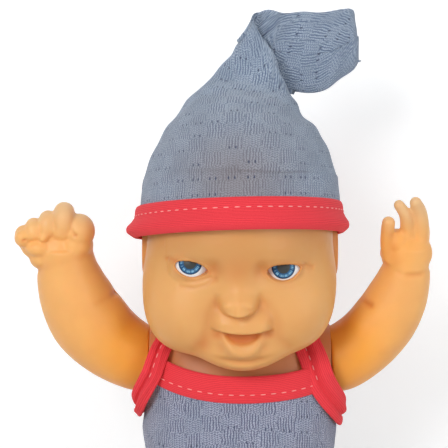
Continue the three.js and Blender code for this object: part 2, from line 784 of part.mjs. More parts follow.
// A tape swept along places with a facing each, flat side out.
function tapeAlong(stops, looped) {
  const rings = stops.map((stop, i) => {
    const before = stops[looped ? (i + stops.length - 1) % stops.length : Math.max(0, i - 1)];
    const after = stops[looped ? (i + 1) % stops.length : Math.min(stops.length - 1, i + 1)];
    const run = after.at.clone().sub(before.at).normalize();
    const facing = stop.facing.clone().addScaledVector(run, -stop.facing.dot(run)).normalize();
    const broad = run.clone().cross(facing);
    const half = bindingWidth / 2;
    const corners = [
      [-half, 0],
      [half, 0],
      [half, bindingThickness],
      [-half, bindingThickness],
    ];
    return corners.map(([w, t]) =>
      stop.at.clone().addScaledVector(broad, w).addScaledVector(facing, t),
    );
  });
  return skin(rings, looped);
}

function makeChestTape(front) {
  const stops = [];
  const steps = 12;
  for (let i = 0; i <= steps; i++) {
    const x = chestTapeReach * ((i / steps) * 2 - 1);
    const height = tapeEdge(x) + bindingWidth / 2;
    const size = torsoProfile.getPoint(profileAt(height));
    const depth = (1 - Math.abs(x / size.x) ** torsoSquareness) ** (1 / torsoSquareness);
    const share = front ? -bellyShare : 2 - bellyShare;
    const y = share * size.y * depth + (front ? -1 : 1) * clothGap;
    stops.push({ at: vec(x, y, height), facing: vec(0.012 * x, front ? -1 : 1, 0.1) });
  }
  return tapeAlong(stops, false);
}

const shoulderSlope = 0.22;
const strapSide = 18.4; // from the shoulder's centre forwards and back to the tape
const strapRise = 0.6; // from the torso's top to the tape over the shoulder
const strapHigh = shoulderDrop + strapRise; // counted from the shoulder's centre

// The strap tape runs round the armhole: over the shoulder, down past the arm and under it.
function makeStrapTape(side) {
  const stops = [];
  const steps = 32;
  for (let i = 0; i < steps; i++) {
    const a = (i / steps) * Math.PI * 2;
    const c = Math.cos(a);
    const s = Math.sin(a);
    const radius = THREE.MathUtils.lerp(strapSide, c > 0 ? strapHigh : strapLow, Math.abs(c));
    const x = 29.4 - 6.2 * c + 1.6 * s * s;
    stops.push({
      at: vec(side * x, -radius * s, shoulderHeight + radius * c),
      facing: vec(side * Math.max(shoulderSlope * c, -c), -s, Math.max(0, c)),
    });
  }
  return tapeAlong(stops, true);
}

// The tape of a leg opening lies flat on the hip face, round the root of the leg.
const legTapeInner = legRootRadius + 2 * clearance;
const legTapeOuter = legTapeInner + legTapeWidth;

function makeLegTape(side) {
  const ring = rod(hipCentre(side), hipAxis(side), clearance, clearance + bindingThickness, legTapeOuter, 32);
  return ring.subtract(rod(hipCentre(side), hipAxis(side), -1, 5, legTapeInner, 32));
}

// Scene
const doll = new THREE.Group();
doll.position.set(0, seamBehind, -seatDrop);

function addPiece(parent, name, body, finish) {
  const piece = new THREE.Mesh(geometryOf(body), new THREE.MeshStandardMaterial(finish));
  piece.name = name;
  parent.add(piece);
  return piece;
}

addPiece(doll, "torso", makeTorso(), vinyl);

const neckJoint = new THREE.Group();
neckJoint.position.set(0, 0, torsoTop);
doll.add(neckJoint);
addPiece(neckJoint, "head", makeHead(), vinyl);
addPiece(neckJoint, "right_eye", makeEye(rightEye), eyeWhite);
addPiece(neckJoint, "left_eye", makeEye(leftEye), eyeWhite);
addPiece(neckJoint, "right_iris", makeIris(rightEye), eyeBlue);
addPiece(neckJoint, "left_iris", makeIris(leftEye), eyeBlue);
addPiece(neckJoint, "hat_knit", makeCap(), knit);
addPiece(neckJoint, "hat_binding", makeCapBinding(), tape);

// A limb made for the doll's left side, or its mirror image for the right side.
function mirrored(body) {
  return body.mirror([1, 0, 0]);
}

const rightShoulder = new THREE.Group();
rightShoulder.position.copy(shoulderCentre(-1));
doll.add(rightShoulder);
addPiece(rightShoulder, "right_arm", mirrored(rightArm()), vinyl);

const leftShoulder = new THREE.Group();
leftShoulder.position.copy(shoulderCentre(1));
doll.add(leftShoulder);
addPiece(leftShoulder, "left_arm", leftArm(), vinyl);

for (const [side, name] of [[-1, "right"], [1, "left"]]) {
  const hip = new THREE.Group();
  hip.position.copy(hipCentre(side));
  hip.rotation.y = side * hipTilt;
  doll.add(hip);
  addPiece(hip, name + "_leg", side > 0 ? leg() : mirrored(leg()), vinyl);
  addPiece(doll, name + "_strap_binding", makeStrapTape(side), tape);
  addPiece(doll, name + "_leg_binding", makeLegTape(side), tape);
}

addPiece(doll, "romper_front", makePanel(true), knit);
addPiece(doll, "romper_back", makePanel(false), knit);
addPiece(doll, "chest_binding", makeChestTape(true), tape);
addPiece(doll, "back_binding", makeChestTape(false), tape);

export default doll;
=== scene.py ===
# %% [markdown]
# # A vinyl baby doll in a knitted cap and romper
# The doll is about 25 cm tall when it stands. Its head and limbs are hollow soft vinyl, and its cap and romper are
# a fine grey-blue knit, bound with red tape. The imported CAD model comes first, as a fixed frame: each piece below
# is drawn in the same place and finer than its solid, and rides on the same body.
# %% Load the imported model
import math

import bpy
import numpy as np
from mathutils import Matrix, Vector
from mathutils.bvhtree import BVHTree


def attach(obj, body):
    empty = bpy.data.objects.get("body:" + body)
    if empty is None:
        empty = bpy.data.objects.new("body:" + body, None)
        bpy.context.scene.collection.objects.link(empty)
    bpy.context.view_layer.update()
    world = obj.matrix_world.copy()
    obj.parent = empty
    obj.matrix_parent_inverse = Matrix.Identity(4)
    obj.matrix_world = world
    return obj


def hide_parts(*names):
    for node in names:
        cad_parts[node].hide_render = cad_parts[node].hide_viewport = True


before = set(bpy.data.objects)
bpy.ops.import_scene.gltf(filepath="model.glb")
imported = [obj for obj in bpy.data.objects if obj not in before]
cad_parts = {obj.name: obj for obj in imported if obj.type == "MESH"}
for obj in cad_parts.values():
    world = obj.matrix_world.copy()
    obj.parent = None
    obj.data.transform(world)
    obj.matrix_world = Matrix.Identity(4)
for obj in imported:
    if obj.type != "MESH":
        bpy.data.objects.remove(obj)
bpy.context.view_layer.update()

# %% [markdown]
# ## The frame that the doll is drawn in
# The shapes are written in millimetres about the plane of the shoulder joints, as they are in the CAD source. One
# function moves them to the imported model's place, so that no piece needs any fitting.
# %% Millimetres, and the doll's own plane
MM = 0.001
DRAWN_AT = np.array([0.0, 6.0, -4.0])
shoulder_height = 80.5
shoulder_plane = 32.4
hip_plane = 23.4
hip_height = 23.0
hip_tilt = math.radians(16)
full_turn = 2 * math.pi


def in_metres(points):
    return (np.asarray(points, float) + DRAWN_AT) * MM


print("the doll's plane lies at", DRAWN_AT, "mm")

# %% [markdown]
# ## Camera
# The photograph looks at the doll from about 12 degrees above, from a fair distance, and cuts it at the belly. A
# long lens gives the same flat perspective.
# %% Camera
bpy.ops.object.camera_add(location=(-0.0057, -0.6298, 0.2611), rotation=(math.radians(78), 0, 0))
camera = bpy.context.object
camera.name = "photo_camera"
camera.data.lens = 147.1
camera.data.sensor_width = 36
bpy.context.scene.camera = camera
print("camera lens", round(camera.data.lens, 1), "mm")

# %% [markdown]
# ## Helpers for making pieces
# Each piece starts as a sphere or a grid from Blender's own primitives. Its points are then set by a formula, which
# is how a sculptor's moves are written down, and modifiers finish it.
# %% Helpers: add, select and join pieces
def added(add, name, **settings):
    """Adds one of Blender's own shapes, and names it."""
    bpy.ops.object.select_all(action="DESELECT")
    add(**settings)
    piece = bpy.context.object
    piece.name = name
    return piece


def sphere(name, segments, rings):
    return added(bpy.ops.mesh.primitive_uv_sphere_add, name, segments=segments, ring_count=rings, radius=1)


def grid(name, columns, rows):
    return added(bpy.ops.mesh.primitive_grid_add, name, x_subdivisions=columns, y_subdivisions=rows, size=1)


def select(*pieces):
    """Selects these pieces alone, the first one as the active one."""
    bpy.ops.object.select_all(action="DESELECT")
    for piece in pieces:
        piece.select_set(True)
    bpy.context.view_layer.objects.active = pieces[0]


def joined(name, pieces):
    select(*pieces)
    bpy.ops.object.join()
    piece = bpy.context.object
    piece.name = name
    return piece


def finished_with(piece, kind, **settings):
    select(piece)
    modifier = piece.modifiers.new(kind.title(), kind)
    for key, value in settings.items():
        setattr(modifier, key, value)
    bpy.ops.object.modifier_apply(modifier=modifier.name)


def outwards(piece):
    """Welds points that lie together, and turns every face outwards."""
    select(piece)
    bpy.ops.object.mode_set(mode="EDIT")
    bpy.ops.mesh.select_all(action="SELECT")
    bpy.ops.mesh.remove_doubles(threshold=0.00002)
    bpy.ops.mesh.normals_make_consistent(inside=False)
    bpy.ops.object.mode_set(mode="OBJECT")


def dressed(piece, material, body, node=None):
    """Smooths a piece, gives it its material and body, and puts it in a node's place if one is named."""
    piece.data.polygons.foreach_set("use_smooth", np.ones(len(piece.data.polygons), bool))
    piece.data.update()
    piece.data.materials.clear()
    piece.data.materials.append(material)
    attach(piece, body)
    if node:
        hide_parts(node)
    return piece


print("helpers for pieces ready")

# %% Helpers: points of a piece
def points_of(piece, what="co"):
    flat = np.empty(len(piece.data.vertices) * 3)
    piece.data.vertices.foreach_get(what, flat)
    return flat.reshape(-1, 3)


def put_points(piece, points):
    piece.data.vertices.foreach_set("co", np.ascontiguousarray(points, float).ravel())
    piece.data.update()
    return piece


def drawn_points(piece):
    """A finished piece's points, in the millimetres that the doll is drawn in."""
    return points_of(piece) / MM - DRAWN_AT


def shares_of(piece):
    """The places of a unit grid's points, from 0 to 1, across and along."""
    flat = np.round(points_of(piece)[:, :2] + 0.5, 6)
    return flat[:, 0], flat[:, 1]


def put_uv(piece, across, along):
    corners = np.empty(len(piece.data.loops), np.int32)
    piece.data.loops.foreach_get("vertex_index", corners)
    layer = piece.data.uv_layers.active
    layer.data.foreach_set("uv", np.stack([across[corners], along[corners]], axis=1).ravel())


def polar_share(ball):
    """Where a unit ball's points lie between its poles, from 0 at the top to 1."""
    return np.arccos(np.clip(ball[:, 2], -1, 1)) / math.pi


print("helpers for points ready")

# %% Helpers: soft steps, hills and directions
def ease(value, low, high):
    t = np.clip((value - low) / (high - low), 0, 1)
    return t * t * (3 - 2 * t)


def hill(value, wide, power=2):
    """1 where the value is 0, falling softly to 0 past its width."""
    return np.exp(-((value / wide) ** power))


def bump(x, z, at_x, at_z, wide, high):
    return np.exp(-(((x - at_x) / wide) ** 2) - ((z - at_z) / high) ** 2)


def unit(rows):
    return rows / np.linalg.norm(rows, axis=1)[:, None]


def square_to(runs, facings):
    """Each facing made square to the run of its line, with length one."""
    return unit(facings - runs * (facings * runs).sum(1)[:, None])


def runs_of(places, looped):
    """Which way a line runs at each of its places."""
    if looped:
        return unit(np.roll(places, -1, axis=0) - np.roll(places, 1, axis=0))
    return unit(np.gradient(places, axis=0))


def lengths_along(line):
    """How far along a line each of its places lies."""
    return np.concatenate([[0], np.cumsum(np.linalg.norm(np.diff(line, axis=0), axis=1))])


print("a hill half way down its side:", round(float(hill(0.83, 1)), 2))

# %% Helpers: a smooth line through stops, and the distance from a line
def through(stops, at):
    """Points on a smooth line through the stops, for shares 0 to 1 of its stops."""
    stops = np.asarray(stops, float)
    last = len(stops) - 1
    place = np.clip(np.asarray(at, float), 0, 1) * last
    i = np.minimum(place.astype(int), last - 1)
    w = (place - i)[:, None]
    padded = np.vstack([2 * stops[0] - stops[1], stops, 2 * stops[-1] - stops[-2]])
    p0, p1, p2, p3 = padded[i], padded[i + 1], padded[i + 2], padded[i + 3]
    gap = lambda a, b: np.maximum(((b - a) ** 2).sum(1) ** 0.25, 1e-3)[:, None]
    d0, d1, d2 = gap(p0, p1), gap(p1, p2), gap(p2, p3)
    m1 = ((p1 - p0) / d0 - (p2 - p0) / (d0 + d1) + (p2 - p1) / d1) * d1
    m2 = ((p2 - p1) / d1 - (p3 - p1) / (d1 + d2) + (p3 - p2) / d2) * d1
    c2 = -3 * p1 + 3 * p2 - 2 * m1 - m2
    c3 = 2 * p1 - 2 * p2 + m1 + m2
    return p1 + m1 * w + c2 * w**2 + c3 * w**3


def line_distance(points, line):
    """How far points are from a broken line, in the plane or in space."""
    line = np.array(line, float)
    best = np.full(len(points), 1e9)
    for start, end in zip(line[:-1], line[1:]):
        run = end - start
        t = np.clip((points - start) @ run / (run @ run), 0, 1)
        best = np.minimum(best, np.linalg.norm(points - start - t[:, None] * run, axis=1))
    return best


print("a line through three stops, half way:", through([(0, 0), (1, 1), (2, 0)], [0.5])[0])

# %% [markdown]
# ## Materials
# Colours are written as they look, and one function turns them into the linear values that Blender mixes. A Value
# stands for a node's output: a sum or a product of values adds the maths node that works it out.
# %% Values of the node tree
def linear(red, green, blue):
    def one(value):
        value = value / 255
        return value / 12.92 if value <= 0.04045 else ((value + 0.055) / 1.055) ** 2.4

    return (one(red), one(green), one(blue), 1.0)


def feed(source, target):
    """Puts a number, a colour or a value into a socket."""
    if isinstance(source, Value):
        target.id_data.links.new(source.socket, target)
    else:
        target.default_value = source


def node(tree, kind, inputs, output=0, **settings):
    """Adds a node, feeds its inputs, and gives the value of one output."""
    new = tree.nodes.new(kind)
    for key, value in settings.items():
        setattr(new, key, value)
    for key, value in inputs.items():
        feed(value, new.inputs[key])
    return Value(new.outputs[output])


class Value:
    def __init__(self, socket):
        self.socket = socket
        self.tree = socket.id_data

    def maths(self, operation, *others):
        return node(self.tree, "ShaderNodeMath", dict(enumerate((self, *others))), operation=operation)

    def __add__(self, other):
        return self.maths("ADD", other)

    def __sub__(self, other):
        return self.maths("SUBTRACT", other)

    def __mul__(self, other):
        return self.maths("MULTIPLY", other)

    def __truediv__(self, other):
        return self.maths("DIVIDE", other)

    def __mod__(self, other):
        return self.maths("FLOORED_MODULO", other)

    def __abs__(self):
        return self.maths("ABSOLUTE")

    def wave(self, length):
        """A sine wave of the value, with a full period in each length."""
        return (self * (full_turn / length)).maths("SINE")


print("forehead colour in linear light:", [round(v, 3) for v in linear(228, 168, 108)])

# %% Materials and the nodes that they share
def new_material(name, constants):
    """A material and its tree and shader, with the constants on the shader's own sockets."""
    material = bpy.data.materials.new(name)
    material.use_nodes = True
    shader = material.node_tree.nodes["Principled BSDF"]
    for key, value in constants.items():
        shader.inputs[key].default_value = value
    return material, material.node_tree, shader


def mixed(share, first, second):
    return node(share.tree, "ShaderNodeMix", {0: share, 6: first, 7: second}, 2, data_type="RGBA")


def ranged(value, low, high, to_low=0.0, to_high=1.0):
    inputs = dict(enumerate((value, low, high, to_low, to_high)))
    return node(value.tree, "ShaderNodeMapRange", inputs, interpolation_type="SMOOTHSTEP")


def noise(vector, scale, detail=2.0, roughness=0.5):
    inputs = {"Vector": vector, "Scale": scale, "Detail": detail, "Roughness": roughness}
    return node(vector.tree, "ShaderNodeTexNoise", inputs)


def bumped(shader, height, strength, distance):
    inputs = {"Height": height, "Strength": strength, "Distance": distance}
    feed(node(height.tree, "ShaderNodeBump", inputs), shader.inputs["Normal"])


def place_on(tree, kind):
    """A point's place, by the object's own axes or by its UV map."""
    return node(tree, "ShaderNodeTexCoord", {}, kind)


def attribute(tree, name, output="Color"):
    return node(tree, "ShaderNodeAttribute", {}, output, attribute_name=name)


def parts_of(vector):
    """The first two parts of a vector."""
    split = vector.tree.nodes.new("ShaderNodeSeparateXYZ")
    feed(vector, split.inputs[0])
    return Value(split.outputs[0]), Value(split.outputs[1])


print("material helpers ready")

# %% [markdown]
# ### Soft vinyl
# Doll vinyl is a warm, slightly translucent plastic with a dull shine. Its tone is stored on the points of each piece:
# a deeper orange in its folds and near its joints, which is painted shade and painted glow of light through the vinyl.
# Light scatters a few millimetres into it, and a fine noise breaks up both its colour and its shine.
# %% Vinyl material
vinyl, tree, shader = new_material("vinyl_skin", {
    "Subsurface Weight": 0.22,
    "Subsurface Radius": (1.0, 0.45, 0.2),
    "Subsurface Scale": 0.004,
    "Specular IOR Level": 0.38,
})
place = place_on(tree, "Object")
mottle = ranged(noise(place, 95.0, 3.0), 0.3, 0.75, 0.0, 0.16)
# The stored tone holds the skin's colour and its painted shade and glow.
feed(mixed(mottle, attribute(tree, "skin_tone_and_shade"), linear(214, 138, 78)), shader.inputs["Base Color"])
bumped(shader, noise(place, 1900.0), 0.05, 0.0002)
feed(ranged(noise(place, 260.0), 0.3, 0.7, 0.4, 0.5), shader.inputs["Roughness"])
print("material", vinyl.name)

# %% [markdown]
# ### Knit
# The cloth is a pointelle knit: upright wales about 1 mm apart, in blocks of about 6.5 by 5.4 mm that take turns with
# blocks of flat rows, and small holes in pairs at the blocks' edges. The pattern is drawn on each piece's UV map, which
# is in millimetres of cloth, so that it follows the folds as real knitting does.
# %% Knit material
block_width, block_height = 6.5, 5.4
hole_pair_middle, hole_half_gap, hole_narrowing, hole_height = 3.2, 1.05, 1.9, 0.7
wale_pitch, loop_pitch, row_pitch, row_wave = 0.98, 0.86, 0.8, 1.9


def knit_material(name, light, dark):
    finish = {"Roughness": 0.92, "Specular IOR Level": 0.2, "Sheen Weight": 0.25, "Sheen Roughness": 0.6}
    material, tree, shader = new_material(name, finish)
    cloth = place_on(tree, "UV")
    x, y = parts_of(cloth)
    wander = noise(cloth, 0.42) * 1.1 - 0.55
    across, along = x + wander, y - wander * 0.8

    ragged = noise(cloth, 0.35) * 5.0 - 2.5
    column = ((x + ragged) / block_width).maths("FLOOR")
    row = ((y + ragged) / block_height).maths("FLOOR")
    wale = abs((row * 0.37 + (column * 0.5 + across)).wave(2 * wale_pitch))
    loops = (across.maths("PINGPONG", wale_pitch / 2) * 1.1 + along).wave(loop_pitch) * 0.5 + 0.5
    upright = wale * (loops * 0.4 + 0.6)
    rows = (along + across.wave(row_wave) * 0.24).wave(2 * row_pitch)
    flat_rows = abs(rows) * 0.6 + upright * 0.4
    turn = (column + row) % 2.0 * ranged(noise(cloth, 0.16), 0.36, 0.46)
    height = upright * (turn * -1.0 + 1.0) + flat_rows * turn

    from_pair = abs(abs(x % block_width - hole_pair_middle) - hole_half_gap) * hole_narrowing
    from_edge = y % block_height - hole_height
    reach = (from_pair * from_pair + from_edge * from_edge).maths("SQRT")
    cell = {0: (x / block_width).maths("FLOOR"), 1: (y / block_height).maths("FLOOR")}
    cell = node(tree, "ShaderNodeCombineXYZ", cell)
    chance = node(tree, "ShaderNodeTexWhiteNoise", {"Vector": cell}, "Value", noise_dimensions="2D")
    hole = ranged(reach, 0.3, 0.75, 1.0, 0.0) * chance.maths("GREATER_THAN", 0.5)

    # The knit is painted darker in its low parts and lighter on its raised loops: painted shade, mixed with a random
    # yarn tone.
    shade = (noise(cloth, 2.3, 3.0, 0.6) - 0.5) * 0.9 + height
    colour = mixed(ranged(shade, 0.1, 1.0), dark, light)
    colour = mixed(ranged(noise(cloth, 0.09), 0.35, 0.7, 0.0, 0.3), colour, linear(118, 134, 156))
    colour = mixed(attribute(tree, "warmth", "Fac") * 0.6, colour, linear(136, 119, 112))
    # The holes are painted a dark blue: painted shade where the cloth is open.
    colour = mixed(hole * 0.85, colour, linear(56, 66, 98))
    feed(colour, shader.inputs["Base Color"])
    bumped(shader, hole * -1.2 + shade, 0.75, 0.00035)
    return material


cap_knit = knit_material("cap_knit", linear(178, 192, 210), linear(96, 114, 142))
romper_knit = knit_material("romper_knit", linear(180, 187, 208), linear(88, 94, 122))
print("materials", cap_knit.name, romper_knit.name)

# %% [markdown]
# ### Red tape and its stitches
# The binding is a ribbed tape: fine ribs run along it, parallel to its edges. Its UV map holds the distance along and
# across the tape in millimetres, so a wave across it makes the ribs.
# %% Tape and thread materials
tape, tree, shader = new_material("red_tape", {
    "Roughness": 0.85,
    "Specular IOR Level": 0.25,
    "Sheen Weight": 0.3,
    "Sheen Roughness": 0.5,
    "Sheen Tint": linear(255, 150, 150),
})
rib_pitch = 0.62
cloth = place_on(tree, "UV")
sway = noise(cloth, 0.3) * 0.5 - 0.25
rib = abs((parts_of(cloth)[1] + sway).wave(2 * rib_pitch))
fuzz = noise(cloth, 2.6, 3.0, 0.6)
# The ribs are painted darker in the furrows between them: painted shade.
colour = mixed(ranged(rib, 0.0, 0.8), linear(214, 44, 58), linear(240, 62, 72))
feed(mixed(ranged(fuzz, 0.35, 0.75, 0.0, 0.3), colour, linear(246, 84, 88)), shader.inputs["Base Color"])
bumped(shader, fuzz * 0.5 + rib, 0.5, 0.00016)

thread, tree, shader = new_material("pink_thread", {"Roughness": 0.7})
twist = noise(place_on(tree, "Object"), 2600.0)
feed(mixed(twist, linear(238, 140, 140), linear(250, 180, 174)), shader.inputs["Base Color"])
bumped(shader, twist, 0.4, 0.0001)
print("materials", tape.name, thread.name)

# %% [markdown]
# ### Eyes
# The eyes are glossy inserts. The iris is a printed disc: a dark pupil, a blue field, a ring of pale rays and a darker
# rim. Its UV map runs from -1 to 1 across the disc, so the distance from its middle gives the rings, and a noise on
# the direction alone gives the rays.
# %% Eye materials
gloss = {"Roughness": 0.22, "Coat Weight": 0.3, "Coat Roughness": 0.08}
eye_white, tree, shader = new_material("eye_white", gloss)
cloud = noise(place_on(tree, "Object"), 320.0)
feed(mixed(cloud, linear(226, 234, 240), linear(244, 247, 248)), shader.inputs["Base Color"])

iris_blue, tree, shader = new_material("iris_blue", {"Roughness": 0.4, "Specular IOR Level": 0.3})
disc = place_on(tree, "UV")
radius = node(tree, "ShaderNodeVectorMath", {0: disc}, "Value", operation="LENGTH")
direction = node(tree, "ShaderNodeVectorMath", {0: disc}, "Vector", operation="NORMALIZE")
rays = noise(direction, 11.0, 2.0, 0.6)
ring = ranged(radius, 0.6, 0.7) * ranged(radius, 0.78, 0.86, 1.0, 0.0)
colour = mixed(ranged(rays, 0.35, 0.65), linear(22, 70, 112), linear(38, 100, 146))
colour = mixed(ring * ranged(rays, 0.46, 0.56, 0.0, 0.75), colour, linear(150, 204, 232))
colour = mixed(ranged(radius, 0.84, 0.97), colour, linear(20, 46, 78))
colour = mixed(ranged(radius, 0.5, 0.56, 1.0, 0.0), colour, linear(52, 54, 52))
feed(colour, shader.inputs["Base Color"])
print("materials", eye_white.name, iris_blue.name)

# %% [markdown]
# ## Head
# The head is a hollow vinyl shell, moulded in one piece with its ears. Here a sphere with its pole at the bridge of the
# nose is pushed out to the skin of five joined lumps: skull, jaw, two cheeks and chin. The pole at the face puts the
# smallest faces where the eyes and the mouth need them.
# %% The head's lumps, as distances
head_middle = np.array([0.0, -4.0, 122.0])
head_lumps = [
    ((0.0, -4.0, 135.5), (32.0, 39.3, 35.3)),
    ((-0.3, -13.0, 114.2), (31.5, 24.0, 20.0)),
    ((-20.0, -22.5, 104.4), (11.6, 13.5, 13.2)),
    ((18.8, -22.5, 105.4), (11.4, 13.5, 13.0)),
    ((0.6, -29.0, 94.9), (13.6, 10.0, 9.4)),
]
lump_blend, edge_blend = 0.22, 0.5
throat_height, jaw_line, jaw_slope, nape_slope = 98.9, 102.5, 0.55, 0.1


def head_distance(points):
    """Roughly how far points are outside the joined lumps, in millimetres."""
    total = 0
    for centre, size in head_lumps:
        away = points - np.array(centre)
        near = np.linalg.norm(away / size, axis=1)
        slope = np.linalg.norm(away / np.square(size), axis=1)
        total = total + np.exp(-lump_blend * near * (near - 1) / np.maximum(slope, 1e-6))
    outside = -np.log(total) / lump_blend
    y, z = points[:, 1], points[:, 2]
    turn = (throat_height - jaw_line) / jaw_slope
    floor = throat_height + jaw_slope * np.minimum(y - turn, 0) + nape_slope * np.maximum(y - turn, 0)
    under = (floor - 30 * ease(-y, 20, 30) - z) * 0.87
    return np.log(np.exp(edge_blend * outside) + np.exp(edge_blend * under)) / edge_blend


def head_reach(directions, farthest=75.0, halvings=24):
    """How far the head's skin is from its middle, in each direction, found by halving."""
    near = np.zeros(len(directions))
    far = np.full(len(directions), farthest)
    for _ in range(halvings):
        middle = (near + far) / 2
        inside = head_distance(head_middle + directions * middle[:, None]) < 0
        near = np.where(inside, middle, near)
        far = np.where(inside, far, middle)
    return near


forward = head_reach(np.array([[0.0, -1.0, 0.0]]))[0]
print("the bridge of the nose starts at y =", round(head_middle[1] - forward, 1), "mm")

# %% [markdown]
# ### Face
# The face follows the photographed doll: half-moon eyes under a nearly straight upper lid, a short round nose, a full
# upper lip over an open mouth, and heavy cheeks. Each feature is a soft rise or dip, placed in millimetres on the
# face. What sinks is also noted, and its tone is painted a deeper orange there: painted shade.
# %% The eyes' openings
right_lids = [
    (-22.1, 123.4), (-21.2, 124.5), (-18.5, 124.9), (-15.5, 124.6), (-13.0, 123.5), (-11.3, 121.7),
    (-12.3, 120.8), (-14.2, 120.0), (-16.6, 119.6), (-18.9, 120.2), (-20.8, 121.3), (-21.8, 122.4),
]
left_lids = [
    (8.9, 121.7), (9.7, 123.0), (11.2, 123.8), (14.4, 123.9), (17.6, 123.6), (19.1, 123.0),
    (19.9, 122.0), (18.8, 120.5), (17.0, 119.1), (14.4, 118.4), (11.7, 118.9), (9.9, 120.1),
]


def rounded(corners, steps=72):
    """A closed smooth outline through corners."""
    ring = np.array(corners)
    wrapped = np.vstack([ring[-2:], ring, ring[:3]])
    shares = (2 + np.arange(steps) / steps * len(ring)) / (len(wrapped) - 1)
    outline = through(wrapped, shares)
    return np.vstack([outline, outline[:1]])


def inside_by(flat, outline):
    """How far inside a closed outline points are; less than zero outside."""
    x, z = flat.T
    crossings = np.zeros(len(flat), int)
    for (ax, az), (bx, bz) in zip(outline[:-1], outline[1:]):
        if az != bz:
            between = (az > z) != (bz > z)
            crossings += between & (x < ax + (z - az) * (bx - ax) / (bz - az))
    return np.where(crossings % 2 == 1, 1, -1) * line_distance(flat, outline)


right_outline, left_outline = rounded(right_lids), rounded(left_lids)
print("right eye opening in mm:", np.round(np.ptp(right_outline, axis=0), 1))

# %% Creases, and where the eyes lie
# Each crease is a line on the face, its width and how far it sinks. Each eye has its ball's middle, the place on
# the face that it looks towards, and the outline of its opening.
creases = [
    ([(-21.9, 124.9), (-23.4, 125.1), (-25.2, 124.5)], 0.7, 0.8),
    ([(19.5, 123.3), (21.6, 123.0), (24.2, 121.8)], 0.8, 0.7),
    ([(-8.6, 119.4), (-12.0, 117.2), (-16.1, 116.0), (-20.4, 116.1)], 0.8, 0.38),
    ([(-10.2, 119.8), (-14.8, 118.3), (-18.6, 118.0)], 0.6, 0.24),
    ([(8.6, 117.6), (12.0, 116.2), (17.0, 116.2)], 1.0, 0.15),
    ([(-8.0, 113.6), (-8.5, 111.2), (-7.9, 109.4)], 1.0, 0.35),
    ([(6.5, 113.8), (7.0, 111.4), (6.5, 109.6)], 1.0, 0.35),
    ([(-8.6, 110.4), (-10.6, 106.4), (-11.0, 102.0), (-12.6, 97.6), (-15.4, 93.6)], 2.2, 0.55),
    ([(7.4, 110.6), (10.4, 106.8), (12.0, 102.6), (13.2, 98.4), (16.0, 95.0)], 2.2, 0.5),
    ([(-9.4, 100.9), (-7.0, 100.3), (-4.4, 99.9)], 0.5, 0.4),
    ([(10.6, 101.2), (8.0, 100.3), (5.4, 99.9)], 0.5, 0.4),
]

eye_radius, iris_radius = 7.6, 3.95
eye_depth = -29.6
eyes = (
    ("right", (-16.7, eye_depth, 122.2), (-17.1, 124.5), right_outline),
    ("left", (14.1, eye_depth, 121.4), (14.3, 123.0), left_outline),
)
print("creases:", len(creases), "eyes:", len(eyes))

# %% Rises and dips of the face
def pair(x, z, right, left, wide, high):
    """The same bump at a place on each side of the face."""
    return bump(x, z, *right, wide, high) + bump(x, z, *left, wide, high)


